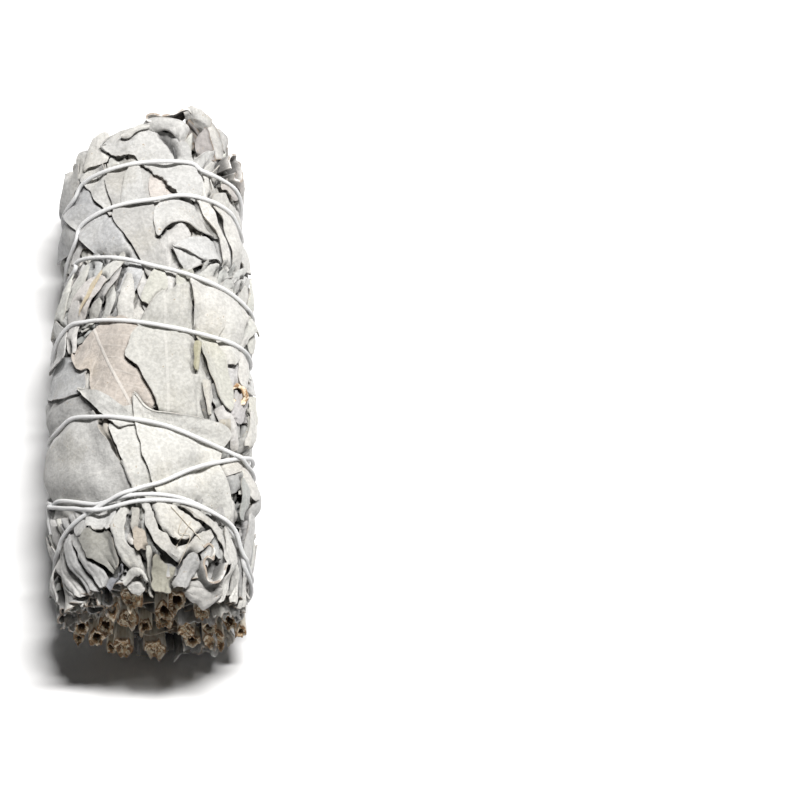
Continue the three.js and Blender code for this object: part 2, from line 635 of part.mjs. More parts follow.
// The curled leaves at the tip: a ribbon's path as [angle, y], extruded towards the middle.
const CURLS = [
  { name: 'curled_tip_leaf_01', colour: 0xd8d5d0, middle: 16, from: 0.4, depth: 5.4,
    path: [[27, 41.6], [20, 42.6], [13, 45], [5, 46], [-2, 46.6], [-3, 48.6], [5, 49.8], [15, 49.6],
      [23, 50.6], [30, 50.2], [34, 47], [32, 44], [34, 41.8]] },
  { name: 'curled_tip_leaf_02', colour: 0xcfcbc4, middle: 64, from: 0.8, depth: 4.2,
    path: [[53, 42.6], [52, 47], [55, 49.4], [59, 48], [60, 45.2], [64, 43.9], [69, 45.6], [74, 44.4],
      [76, 42.4]] },
];
const CURL_T = 0.85;

// A ribbon outline round an open path, half its thickness to each side.
function ribbonShape(points, thickness) {
  const curve = new THREE.SplineCurve(points);
  const steps = points.length * 2;
  const sides = [[], []];
  for (let k = 0; k <= steps; k++) {
    const p = curve.getPoint(k / steps);
    const t = curve.getTangent(k / steps);
    sides[0].push(new THREE.Vector2(p.x - t.y * thickness / 2, p.y + t.x * thickness / 2));
    sides[1].push(new THREE.Vector2(p.x + t.y * thickness / 2, p.y - t.x * thickness / 2));
  }
  return new THREE.Shape([...sides[0], ...sides[1].reverse()]);
}

function curlGeometry(curl) {
  const toFlat = ([a, y]) => new THREE.Vector2(rad(a - curl.middle) * halfWidth(y), y);
  const shape = ribbonShape(curl.path.map(toFlat), CURL_T);
  const geometry = new THREE.ExtrudeGeometry(shape, { depth: curl.depth, bevelEnabled: false });
  const top = skinPoint(curl.middle, 46, curl.from + 0.6);
  const out = new THREE.Vector3(Math.sin(rad(curl.middle)), 0, Math.cos(rad(curl.middle)));
  const across = new THREE.Vector3(out.z, 0, -out.x);
  const along = new THREE.Vector3(0, 1, 0);
  const frame = new THREE.Matrix4().makeBasis(across, along, out);
  geometry.applyMatrix4(frame);
  const start = top.clone().sub(out.clone().multiplyScalar(curl.depth));
  geometry.translate(start.x, 0, start.z);
  return geometry;
}

// The string: a round section carried along the route, in runs that overlap and are joined.
const STRING_SIDES = 5;
const STRING_STEP = 6.2;
const RUN_BREAKS = [-84, 180, 540, 2262, 2797];  // angles between runs that don't cross themselves
const RUN_LAP = 6;            // how far in angle two runs lap
const ROUTE_POINTS = 300;
const HUMP = 0.5;             // how far the crossing run rises over the one below it
const KNOT_R = 1.05;

function stringPoint([a, y]) {
  const floor = depthForHeight(a, y, STRING_Z);
  const free = WAIST - STRING_AIR - STRING_R;
  return skinPoint(a, y, Math.max(free, floor));
}

function stringRun(points) {
  const curve = new THREE.CatmullRomCurve3(points, false, 'centripetal');
  const circle = new THREE.Shape();
  circle.absarc(0, 0, STRING_R, 0, 2 * Math.PI, false);
  const section = new THREE.Shape(circle.getSpacedPoints(STRING_SIDES).slice(0, STRING_SIDES));
  const steps = Math.max(2, Math.round(curve.getLength() / STRING_STEP));
  return new THREE.ExtrudeGeometry(section,
    { steps, extrudePath: curve, bevelEnabled: false, curveSegments: 1 });
}

// Points close enough together that a straight step between them keeps to the round of the stick.
function denseRoute() {
  const route = new THREE.CatmullRomCurve3(ROUTE.map(([a, y]) => new THREE.Vector3(a, y, 0)),
    false, 'centripetal');
  const points = [];
  for (let k = 0; k <= ROUTE_POINTS; k++) {
    const p = route.getPoint(k / ROUTE_POINTS);
    const crossing = p.x > 330 && p.x < 385 ? HUMP * Math.sin(Math.PI * (p.x - 330) / 55) : 0;
    const point = stringPoint([p.x, p.y]);
    const a = rad(p.x);
    point.add(new THREE.Vector3(Math.sin(a), 0, Math.cos(a)).multiplyScalar(crossing));
    points.push({ angle: p.x, point });
  }
  return points;
}

function stringGeometry() {
  const points = denseRoute();
  let solid = null;
  for (let k = 0; k + 1 < RUN_BREAKS.length; k++) {
    const [from, to] = [RUN_BREAKS[k] - RUN_LAP, RUN_BREAKS[k + 1] + RUN_LAP];
    const inRun = points.filter(({ angle }) => angle >= from && angle <= to);
    const run = toSolid(stringRun(inRun.map(({ point }) => point)));
    solid = solid ? solid.add(run) : run;
  }
  const knotAt = stringPoint(ROUTE[0]);
  const knot = new THREE.IcosahedronGeometry(KNOT_R, 0);
  knot.translate(knotAt.x - 0.2, knotAt.y - 0.2, knotAt.z);
  solid = solid.add(toSolid(knot));
  for (const [dy, dz] of [[-6.5, -1.6], [5, -2.4]]) {
    const tail = [knotAt.clone(), knotAt.clone().add(new THREE.Vector3(-0.1, dy * 0.5, dz * 0.3)),
      knotAt.clone().add(new THREE.Vector3(0.2, dy, dz))];
    solid = solid.add(toSolid(stringRun(tail)));
  }
  return toGeometry(largest(solid));
}

function build() {
  const group = new THREE.Group();
  startField();
  [...RESTING_LEAVES, ...WRAP_LEAVES].forEach((spec) => {
    addMesh(group, `wrap_leaf_${spec.name}`, wrapLeaf(spec), spec.colour);
  });
  addMesh(group, 'string', stringGeometry(), 0xf2f1ee, 0.95);
  CURLS.forEach((curl) => addMesh(group, curl.name, curlGeometry(curl), curl.colour));

  const bores = STEMS.map((stem) => toSolid(stemGeometry(stem, GAP, false)));
  BUNCHES.forEach((middle, index) => {
    let solid = toSolid(bunchGeometry(index));
    TIP_BLADES.filter(([bunch]) => bunch === index).forEach((blade) => {
      solid = solid.add(toSolid(tipBlade(blade)).intersect(toSolid(tipRoom(index))));
    });
    bores.forEach((bore) => {
      solid = solid.subtract(bore);
    });
    const name = `inner_leaves_${String(index + 1).padStart(2, '0')}`;
    addMesh(group, name, toGeometry(largest(solid)), 0xb9b8b2);
  });
  STEMS.forEach((stem, index) => {
    const name = `stem_${String(index + 1).padStart(2, '0')}`;
    addMesh(group, name, stemGeometry(stem, 0, true), 0x8a7050, 0.85);
  });
  return group;
}

export default build();
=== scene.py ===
# %% [markdown]
# # A sage smudge stick
#
# A smudge stick is a fistful of leafy sage sprigs, laid side by side and bound with cotton string.
# The solids come first, as a frame that never moves. Around them this lesson builds what the eye
# sees: every leaf as its own thin blade, the cut stems with their hollow pith, and the string.

# %% Load the frame
import math

import bpy
import numpy as np
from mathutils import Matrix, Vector


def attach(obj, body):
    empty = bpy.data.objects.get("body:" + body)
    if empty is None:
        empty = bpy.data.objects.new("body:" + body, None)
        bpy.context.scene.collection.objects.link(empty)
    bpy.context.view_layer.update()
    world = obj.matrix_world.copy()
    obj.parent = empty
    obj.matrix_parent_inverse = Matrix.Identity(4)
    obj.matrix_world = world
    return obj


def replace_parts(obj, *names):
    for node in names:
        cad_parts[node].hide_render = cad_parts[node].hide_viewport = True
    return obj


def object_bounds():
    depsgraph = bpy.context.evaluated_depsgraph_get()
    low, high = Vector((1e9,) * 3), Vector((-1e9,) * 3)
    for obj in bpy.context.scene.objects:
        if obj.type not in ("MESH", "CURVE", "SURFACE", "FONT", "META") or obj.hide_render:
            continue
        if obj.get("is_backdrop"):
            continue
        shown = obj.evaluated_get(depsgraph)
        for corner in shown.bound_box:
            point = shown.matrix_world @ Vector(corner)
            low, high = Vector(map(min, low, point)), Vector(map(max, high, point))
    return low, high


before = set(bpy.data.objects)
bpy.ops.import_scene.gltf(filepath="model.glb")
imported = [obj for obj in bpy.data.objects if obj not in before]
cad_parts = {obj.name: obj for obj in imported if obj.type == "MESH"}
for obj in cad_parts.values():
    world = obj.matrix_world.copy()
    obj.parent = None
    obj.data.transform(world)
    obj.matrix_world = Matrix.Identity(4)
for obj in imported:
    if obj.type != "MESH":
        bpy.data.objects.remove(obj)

CAD_BOX = [list(corner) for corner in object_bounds()]
MM = 0.001
print("solids in the frame:", len(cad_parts))

# %% [markdown]
# ## The camera
#
# The stick is seen from above its cut end. A long lens keeps the sides nearly parallel. The eye and
# the point that it looks at are in the stick's own millimetres, and nothing is rolled or shifted.

# %% Place the camera
EYE = Vector((39.87, -259.39, 584.67)) * MM
LOOK_AT = Vector((48.05, 0.79, 0.0)) * MM

camera_data = bpy.data.cameras.new("camera")
camera_data.sensor_width = 36.0
camera_data.lens = 144.9
camera = bpy.data.objects.new("camera", camera_data)
camera.location = EYE
camera.rotation_euler = (LOOK_AT - EYE).to_track_quat("-Z", "Y").to_euler()
bpy.context.scene.collection.objects.link(camera)
bpy.context.scene.camera = camera
print("camera is", round((LOOK_AT - EYE).length, 3), "m from what it looks at")

# %% [markdown]
# ## The round of the stick
#
# Everything is laid on one barrel. A place on it has two coordinates: the angle round the stick,
# counted from the top towards +X, and y along it. A third number says how far out from the skin a
# point stands, in millimetres, and is negative for what lies deeper.

# %% The barrel and a point on it
HALF_WIDTH = 20.1
FLATTEN = 0.93
SUNK = 0.5
BUTT_Y = -50.0
TIP_Y = 49.0
MM_PER_DEG = math.radians(1.0) * HALF_WIDTH


def half_width(y):
    """Half of the barrel's width at y, 12 % less at the tip and 6 % less at the cut end."""
    t = (np.asarray(y, float) - BUTT_Y) / (TIP_Y - BUTT_Y)
    tip = 0.12 * np.clip((t - 0.35) / 0.65, 0, 1) ** 1.2
    butt = 0.06 * np.clip((0.25 - t) / 0.25, 0, 1) ** 2
    return HALF_WIDTH * (1 - tip - butt)


def skin(angle, y, out):
    """x = (w + out) sin a, z = axis height + (0.93 w + out) cos a, then pressed onto the surface."""
    a = np.radians(angle)
    w = half_width(y)
    x = (w + out) * np.sin(a)
    z = FLATTEN * w - SUNK + (FLATTEN * w + out) * np.cos(a)
    return np.stack([x, y + 0 * z, pressed(z)], -1)


REST_Z = 0.1            # lowest that a leaf lies over the surface
SOFTNESS = 0.25


def pressed(z):
    """What would hang under the surface is flattened onto it: a soft maximum of z and REST_Z."""
    return REST_Z + SOFTNESS * np.logaddexp(0.0, (z - REST_Z) / SOFTNESS)


def outwards(angle):
    """Direction straight out of the barrel: (sin a, 0, cos a)."""
    a = np.radians(angle)
    return np.stack([np.sin(a), 0 * a, np.cos(a)], -1)


def signed(angle):
    """The same angle, counted from -180 to 180 degrees."""
    return (np.asarray(angle) + 180) % 360 - 180


print("stick is", 2 * HALF_WIDTH, "mm wide and", round(2 * FLATTEN * HALF_WIDTH - SUNK, 1), "mm high")

# %% [markdown]
# ## The string's route
#
# One length of string is wound seven turns up the stick, runs back on a long slant under it, takes
# one last turn and is knotted on the left side. The route is a list of places on the barrel, with
# the angle counting up by 360 for each turn. It comes before the leaves, because it bites into them.

# %% Route of the string
ROUTE = [
    (-84, -28.6), (-66, -29.2), (-39, -32.2), (-26.5, -33.2), (-4, -32.8), (20.5, -33.2), (41, -35),
    (56, -37.8), (67, -39.8), (78, -43.4), (130, -45.4), (180, -45.2), (235, -42.6),
    (288, -39.5), (301.5, -37.8), (331, -34.5), (356, -31.5), (370, -30), (386, -27.2), (403.5, -24.8),
    (442.5, -20), (500, -16.8), (545, -15.2), (600, -15),
    (650.5, -15.8), (672.5, -14.8), (691, -16), (712, -17.5), (730.5, -18.8), (757.5, -21.2),
    (785.5, -23), (811, -22.5), (850, -19.5), (905, -12), (960, -3.5),
    (1021, 4.5), (1043, 4.8), (1079.5, 2.8), (1101, 1.8), (1135, 1), (1159.5, 1.5), (1210, 4),
    (1265, 10), (1320, 15.5), (1381, 17.8), (1389.5, 19.5), (1413.5, 18), (1451.5, 14.5),
    (1489, 12), (1520.5, 10.5), (1575, 10.5), (1630, 13.5), (1685, 18),
    (1742.5, 23.2), (1753.5, 26.8), (1776, 28.8), (1805.5, 30), (1824.5, 31.2), (1863.5, 31),
    (1884.5, 30.2), (1935, 30), (1990, 31), (2045, 32.4),
    (2097, 34), (2113, 36.8), (2149.5, 38), (2187.5, 38.8), (2198.5, 37.5), (2236.5, 36.8),
    (2272, 33), (2300, 24), (2330, 10), (2360, -4), (2395, -18), (2430, -27),
    (2454, -30.5), (2475, -33), (2493.5, -35), (2516, -34.2), (2544, -34.3), (2571.5, -36.8),
    (2592.5, -41.8), (2630, -42.5), (2690, -38), (2745, -33), (2797, -29.4),
]
STRING_R = 0.42
STRING_STEP = 0.3
TO_MM = np.array([MM_PER_DEG, 1.0])     # turns a place on the barrel into millimetres
CURVE_STEPS = 24                        # between two given points


def path_length(points):
    """Sum of the straight steps from point to point."""
    return np.linalg.norm(np.diff(points, axis=0), axis=-1).sum(axis=0)


def distances(points):
    """How far along a path each of its points lies."""
    return np.concatenate([[0], np.cumsum(np.linalg.norm(np.diff(points, axis=0), axis=1))])


def smooth_path(points, count, scale=TO_MM):
    """Catmull-Rom curve through given points, read at places evenly spaced along its length."""
    p = np.asarray(points, float)
    p = np.vstack([2 * p[0] - p[1], p, 2 * p[-1] - p[-2]])
    t = np.linspace(0, len(p) - 3, CURVE_STEPS * (len(p) - 3) + 1)
    i = np.minimum(t.astype(int), len(p) - 4)
    f = (t - i)[:, None]
    a, b, c, d = (p[i + k] for k in range(4))
    curve = 0.5 * (2 * b + (c - a) * f + (2 * a - 5 * b + 4 * c - d) * f**2
                   + (3 * b - 3 * c + d - a) * f**3)
    run = distances(curve * scale)
    at = np.linspace(0, run[-1], count)
    return np.stack([np.interp(at, run, curve[:, k]) for k in range(p.shape[1])], -1)


turns = smooth_path(ROUTE, 4000)
route_length = path_length(turns * TO_MM)
route = smooth_path(ROUTE, int(route_length / STRING_STEP))
print("string's wound length is about", round(route_length), "mm")

# %% [markdown]
# ## Fields on the barrel
#
# Two pictures of the barrel's skin steer everything: how far the nearest string is, and how high the
# heap of leaves has grown. Each is a grid of half a degree by a quarter of a millimetre.

# %% Grids on the barrel
CELL_DEG = 0.5
CELL_MM = 0.25
GRID_Y0 = -58.0
GRID_COLS = int(360 / CELL_DEG)
GRID_ROWS = int(2 * abs(GRID_Y0) / CELL_MM)


def cells(angle, y):
    """Grid row and column of the cell nearest to a place."""
    col = np.rint(np.asarray(angle) / CELL_DEG).astype(int) % GRID_COLS
    row = np.clip(np.rint((np.asarray(y) - GRID_Y0) / CELL_MM).astype(int), 0, GRID_ROWS - 1)
    return row, col


def between(grid, r0, c0, c1, fr, fc):
    """Blend of four cells: fc is the share of the second column, and fr that of the next row."""
    low = grid[r0, c0] * (1 - fc) + grid[r0, c1] * fc
    high = grid[r0 + 1, c0] * (1 - fc) + grid[r0 + 1, c1] * fc
    return low * (1 - fr) + high * fr


def read(grid, angle, y):
    """Value of a grid at any place, blended between its four nearest cells."""
    c = (np.asarray(angle, float) / CELL_DEG) % GRID_COLS
    r = np.clip((np.asarray(y, float) - GRID_Y0) / CELL_MM, 0, GRID_ROWS - 1.001)
    c0 = np.floor(c).astype(int)
    r0 = np.floor(r).astype(int)
    return between(grid, r0, c0 % GRID_COLS, (c0 + 1) % GRID_COLS, r - r0, c - c0)


def spread(grid, reach_rows, reach_cols, passes=2):
    """Blurs a grid: the mean over a window, which wraps round the stick, taken a few times."""
    for _ in range(passes):
        wide = np.concatenate([grid[:, -reach_cols - 1:], grid, grid[:, :reach_cols]], axis=1)
        run = np.cumsum(wide, axis=1)
        span = 2 * reach_cols + 1
        grid = (run[:, span:] - run[:, :-span]) / span
        tall = np.pad(grid, ((reach_rows + 1, reach_rows), (0, 0)), mode="edge")
        run = np.cumsum(tall, axis=0)
        span = 2 * reach_rows + 1
        grid = (run[span:] - run[:-span]) / span
    return grid


def cells_in(reach):
    """How many rows and columns a length on the skin takes up."""
    return int(reach / CELL_MM), int(reach / (CELL_DEG * MM_PER_DEG))


def cells_around(angle, y, reach):
    """Row and column of the cells round some places, one offset after another, with their distance."""
    rows, cols = cells_in(reach)
    for d_row in range(-rows, rows + 1):
        for d_col in range(-cols, cols + 1):
            away = math.hypot(d_row * CELL_MM, d_col * CELL_DEG * MM_PER_DEG)
            if away < reach:
                yield *cells(angle + d_col * CELL_DEG, y + d_row * CELL_MM), away


print("cells on the barrel:", GRID_ROWS, "by", GRID_COLS)

# %% How near the string is
NEAR_REACH = 5.0
string_near = np.full((GRID_ROWS, GRID_COLS), NEAR_REACH)
for row, col, away in cells_around(turns[:, 0], turns[:, 1], NEAR_REACH):
    string_near[row, col] = np.minimum(string_near[row, col], away)
BITE, BITE_WIDTH = 1.0, 1.7     # how deep the string cuts into the leaves, and how far to each side
SAG, SAG_WIDTH = 0.45, 4.0      # the wider hollow that it draws them into
bite = BITE * np.exp(-((string_near / BITE_WIDTH) ** 2)) + SAG * np.exp(-((string_near / SAG_WIDTH) ** 2))
bite = spread(bite, 1, 1)
print("deepest bite of the string:", round(float(bite.max()), 2), "mm")

# %% [markdown]
# ## Meshes from arrays
#
# Every piece is a grid of points worked out by a formula. One helper turns points and faces into a
# mesh, and one more turns a grid into a blade: the grid is its outer face, a second grid one
# thickness behind it is its inner face, and a narrow rim closes the two.

# %% Points and faces to an object
LOWEST_Z = 0.01
SHARP_DEG = 62          # a crease sharper than this isn't smoothed over
pieces = {}


def new_object(name, points, quads, tris=None):
    """Object at the origin whose mesh holds the points, in mm, and the four- and three-sided faces.
    Nothing goes below the surface that the stick lies on."""
    mesh = bpy.data.meshes.new(name)
    points = np.array(points, float)
    points[:, 2] = np.maximum(points[:, 2], LOWEST_Z)
    tris = np.zeros((0, 3), int) if tris is None else np.asarray(tris)
    loops = np.concatenate([quads.ravel(), tris.ravel()]).astype(np.int32)
    starts = np.concatenate([np.arange(len(quads)) * 4, len(quads) * 4 + np.arange(len(tris)) * 3])
    mesh.vertices.add(len(points))
    mesh.vertices.foreach_set("co", (points * MM).astype(np.float32).ravel())
    mesh.loops.add(len(loops))
    mesh.loops.foreach_set("vertex_index", loops)
    mesh.polygons.add(len(starts))
    mesh.polygons.foreach_set("loop_start", starts.astype(np.int32))
    mesh.update(calc_edges=True)
    mesh.validate()
    mesh.polygons.foreach_set("use_smooth", np.ones(len(mesh.polygons), bool))
    obj = bpy.data.objects.new(name, mesh)
    bpy.context.scene.collection.objects.link(obj)
    return obj


def add_uv(obj, uv):
    """UV map from one pair for each vertex."""
    layer = obj.data.uv_layers.new(name="along")
    index = np.empty(len(obj.data.loops), np.int32)
    obj.data.loops.foreach_get("vertex_index", index)
    layer.data.foreach_set("uv", uv[index].astype(np.float32).ravel())


def add_value(obj, name, values):
    """A number, or a colour, for each vertex."""
    values = np.asarray(values, np.float32)
    kind, field = ("FLOAT", "value") if values.ndim == 1 else ("FLOAT_COLOR", "color")
    attribute = obj.data.attributes.new(name, kind, "POINT")
    attribute.data.foreach_set(field, values.ravel())


print("nothing hangs lower than", LOWEST_Z, "mm")

# %% A grid to a closed blade
def grid_quads(rows, cols, first=0):
    """Faces between neighbouring points of a grid."""
    at = first + np.arange(rows * cols).reshape(rows, cols)
    return np.stack([at[:-1, :-1], at[:-1, 1:], at[1:, 1:], at[1:, :-1]], -1).reshape(-1, 4)


def unit(vectors):
    """The same directions with length 1."""
    return vectors / np.maximum(np.linalg.norm(vectors, axis=-1, keepdims=True), 1e-9)


def grid_normals(points):
    """Unit normals of a grid of points, from its slopes along the rows and along the columns."""
    return unit(np.cross(np.gradient(points, axis=1), np.gradient(points, axis=0)))


def blade(points, thick, outward):
    """Closed blade: the grid, the grid set back by its thickness, and a rim. Faces point outwards.

    points and outward are (rows, cols, 3), and thick is a number or one for each point. outward is
    roughly the way out, or 0 where the grid's own order is right."""
    rows, cols = points.shape[:2]
    normal = grid_normals(points)
    flipped = (normal * outward).sum() < 0
    if flipped:
        points = points[:, ::-1]
        normal = -normal[:, ::-1]
        thick = thick[:, ::-1] if np.ndim(thick) == 2 else thick
    thick = np.broadcast_to(thick, (rows, cols))[..., None]
    inner = points - normal * thick
    count = rows * cols
    at = np.arange(count).reshape(rows, cols)
    ring = np.concatenate([at[0, :-1], at[:-1, -1], at[-1, :0:-1], at[:0:-1, 0]])
    after = np.roll(ring, -1)
    rim = np.stack([after, ring, ring + count, after + count], -1)
    faces = np.concatenate([grid_quads(rows, cols), grid_quads(rows, cols, count)[:, ::-1], rim])
    return np.concatenate([points.reshape(-1, 3), inner.reshape(-1, 3)]), faces, flipped


sample = np.stack(np.meshgrid(np.arange(4.0), np.arange(3.0), [0.0]), -1)[:, :, 0]
print("a blade of 3 by 4 points has", len(blade(sample, LOWEST_Z, 0.0)[1]), "faces")

# %% Leaf parts to one object
def join(parts):
    """Several (points, quads, uv, tint, edge) sets, put one after another."""
    starts = np.cumsum([0] + [len(part[0]) for part in parts[:-1]])
    points = np.concatenate([part[0] for part in parts])
    quads = np.concatenate([part[1] + start for part, start in zip(parts, starts)])
    return [points, quads] + [np.concatenate(values) for values in list(zip(*parts))[2:]]


def settle(obj, finish):
    """Gives an object its finish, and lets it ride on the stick's one body."""
    obj.data.materials.append(finish)
    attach(obj, "root")


def finish_leaves(name, parts, finish):
    """Makes one object of a list of leaf parts, with their maps and values."""
    points, quads, uv, tint, edge = join(parts)
    obj = new_object(name, points, quads)
    add_uv(obj, uv)
    add_value(obj, "tint", tint)
    add_value(obj, "edge", edge)
    obj.data.set_sharp_from_angle(angle=math.radians(SHARP_DEG))
    settle(obj, finish)
    pieces[name] = obj
    return obj


# %% [markdown]
# ## Noise
#
# Leaves are never flat. A few waves of random direction, laid over each other, give a smooth
# unevenness that is the same on every run, because the seed of each leaf is fixed.

# %% Smooth noise
WAVES = 7


def waves(seed, x, y, size):
    """Sum of sine waves with random directions and phases, scaled to a spread of about 1. size is the
    usual wavelength."""
    rng = np.random.default_rng(seed)
    heading = rng.uniform(0, 2 * math.pi, WAVES)
    pitch = 2 * math.pi / (size * rng.uniform(0.6, 1.7, WAVES))
    phase = rng.uniform(0, 2 * math.pi, WAVES)
    total = 0.0
    for h, k, p in zip(heading, pitch, phase):
        total = total + np.sin(k * (x * math.cos(h) + y * math.sin(h)) + p)
    return total / math.sqrt(WAVES / 2)


def ripples(seed, along, size):
    """The same waves along one direction only."""
    return waves(seed, along, 0 * along, size)


print("waves of 5 mm, read 1 mm apart:", np.round(ripples(1, np.arange(6.0), 5.0), 2))


# %% [markdown]
# ## Laying one leaf on the heap
#
# A leaf lies between a left and a right edge, each a short list of places on the barrel. It is laid
# like a real one: its underside finds the highest points of the heap below, the blade bridges
# between them because it is stiff, and where its edges are free they curl up a little. Then the heap
# has grown by its thickness. The dark lines of the stick are the shadows under those free edges,
# deepened by shade painted into the felt at the bottom of the gaps beside them.

# %% Measures and tints of the leaves
LEAF_T = 0.42
CORE_OUT = -3.4
STIFF_REACH = 0.9       # a blade rests on the highest point within this many mm
STIFF_BEND = 1.7        # and its bends are rounded off over about this many
CURL_SHARE = 0.6        # height of a curled edge, for each mm of its lift
CURL_REACH = 1.1        # the curl has faded to a third this far in
FREE_LIFT = 0.3         # an edge with more lift than this is free, and has a gap beside it
GAP_SHARE = 1.35        # depth of that gap, for each mm of lift
GAP_MAX = 1.9
GAP_HALF = (0.30, 0.16)  # half-width of the gap: a fixed part, and a part for each mm of lift
BORDERS = np.s_[:, 0], np.s_[:, -1], np.s_[0], np.s_[-1]
heap = np.full((GRID_ROWS, GRID_COLS), CORE_OUT)
leaves = []

PALE = (0.645, 0.634, 0.605)
COOL = (0.500, 0.497, 0.490)
COOL_PALE = (0.575, 0.571, 0.558)
GREENISH = (0.555, 0.550, 0.500)
WARM = (0.530, 0.480, 0.435)
GREY = (0.430, 0.430, 0.428)
PINKISH = (0.620, 0.575, 0.540)
TAN = (0.550, 0.460, 0.360)
print("the heap starts", -CORE_OUT, "mm under the skin")

# %% How a leaf rests on the heap
def neighbours(grid):
    """The four grids that hold each point's neighbours, with the border repeated."""
    pad = np.pad(grid, 1, mode="edge")
    return pad[:-2, 1:-1], pad[2:, 1:-1], pad[1:-1, :-2], pad[1:-1, 2:]


def stiffen(out, size):
    """Height that a stiff blade takes over an uneven heap: local maximum first, then averaging."""
    for _ in range(max(1, int(round(STIFF_REACH / size)))):
        out = np.maximum.reduce([out, *neighbours(out)])
    for _ in range(int(4 + 1.5 * (STIFF_BEND / size) ** 2)):
        out = (sum(neighbours(out)) + 2 * out) / 6
    return out


def finer(grid, times):
    """The same surface read at more places, blended between its points."""
    rows, cols = grid.shape
    r = np.linspace(0, rows - 1, (rows - 1) * times + 1)[:, None]
    c = np.linspace(0, cols - 1, (cols - 1) * times + 1)[None, :]
    r0 = np.minimum(r.astype(int), rows - 2)
    c0 = np.minimum(c.astype(int), cols - 2)
    return between(grid, r0, c0, c0 + 1, r - r0, c - c0)


FINE = 3                # a leaf is read this much finer than its grid, so that no cell is left out


def covered(leaf):
    """Row and column of the cells that a leaf covers."""
    return cells(finer(leaf["angle"], FINE), finer(leaf["y"], FINE))


sample = np.zeros((9, 9))
sample[4, 4] = 1.0
print("over a speck 1 mm high a leaf rises by", round(float(stiffen(sample, LEAF_T).max()), 2), "mm")

# %% The outline of a leaf
def narrowing(u, base, tip):
    """Share of full width along a leaf. base and tip are (how far they reach, width left at the end)."""
    def end(reach, left, way):
        """Share of the width on the way in from one end: a quarter sine wave, steepened."""
        return left + (1 - left) * np.sin(math.pi / 2 * np.clip(way / max(reach, 1e-6), 0, 1)) ** 0.8
    return np.minimum(end(*base, u), end(*tip, 1 - u))


def outline_grid(seed, left, right, base, tip, torn, size):
    """Points of a leaf, in rows from base to tip and columns from left to right: a blend of the two
    edges, narrowed towards the ends and jagged by ripples. Gives their angle and y, the columns' share
    v, the width, and how far each point is from the left, right, base and tip edge."""
    coarse = smooth_path(left, 40), smooth_path(right, 40)
    length = path_length((coarse[0] + coarse[1]) / 2 * TO_MM)
    width = np.linalg.norm((coarse[1] - coarse[0]) * TO_MM, axis=1).max()
    rows = max(8, int(length / size) + 1)
    cols = max(7, int(width / size) + 1)
    u = np.linspace(0, 1, rows)[:, None]
    v = np.linspace(0, 1, cols)[None, :]
    share = narrowing(u, base, tip)
    jag_left = ripples(seed, u * length, 4.5) + 0.4 * ripples(seed + 1, u * length, 1.5)
    jag_right = ripples(seed + 2, u * length, 4.5) + 0.4 * ripples(seed + 3, u * length, 1.5)
    across = (0.5 + (v - 0.5) * share) + torn / width * (jag_right * v**3 - jag_left * (1 - v) ** 3)
    across = across[..., None]
    place = smooth_path(left, rows)[:, None] * (1 - across) + smooth_path(right, rows)[:, None] * across
    jag_end = ripples(seed + 4, v * width, 3.4) * torn
    y = place[..., 1] + jag_end * (np.clip(u * 6 - 5, 0, 1) - np.clip(1 - u * 6, 0, 1))
    to_edges = v * share * width, (1 - v) * share * width, u * length, (1 - u) * length
    return place[..., 0], y, v, width, to_edges


print("width left at a base and a tip:", narrowing(np.array([0.0, 1.0]), (0.1, 0.85), (0.25, 0.45)))

# %% Curled edges and the gaps beside them
def edge_curl(seed, x_mm, y_mm, to_edges, lift):
    """Height of the curl: for each edge a share of its lift, fading with the distance to it."""
    curl = 0.0
    for k, (edge, amount) in enumerate(zip(to_edges, lift)):
        uneven = 0.75 + 0.35 * waves(seed + 7 + k, x_mm, y_mm, 7.0)
        curl = curl + CURL_SHARE * amount * uneven * np.exp(-edge / CURL_REACH)
    return curl


def free_gaps(seed, angle, y, lift, size):
    """For each free edge: the angle, y and depth of the gap all along it, and its half-width."""
    gaps = []
    for k, (cut, amount) in enumerate(zip(BORDERS, lift)):
        if amount > FREE_LIFT:
            along = np.arange(len(angle[cut])) * size
            uneven = np.clip(0.8 + 0.55 * ripples(seed + 20 + k, along, 6.0), 0.12, 1.2)
            gaps.append((angle[cut], y[cut], min(GAP_MAX, GAP_SHARE * amount) * uneven,
                         GAP_HALF[0] + GAP_HALF[1] * amount))
    return gaps



print("beside an edge that is lifted by 1 mm the gap is", GAP_SHARE, "mm deep")

# %% Lay a leaf


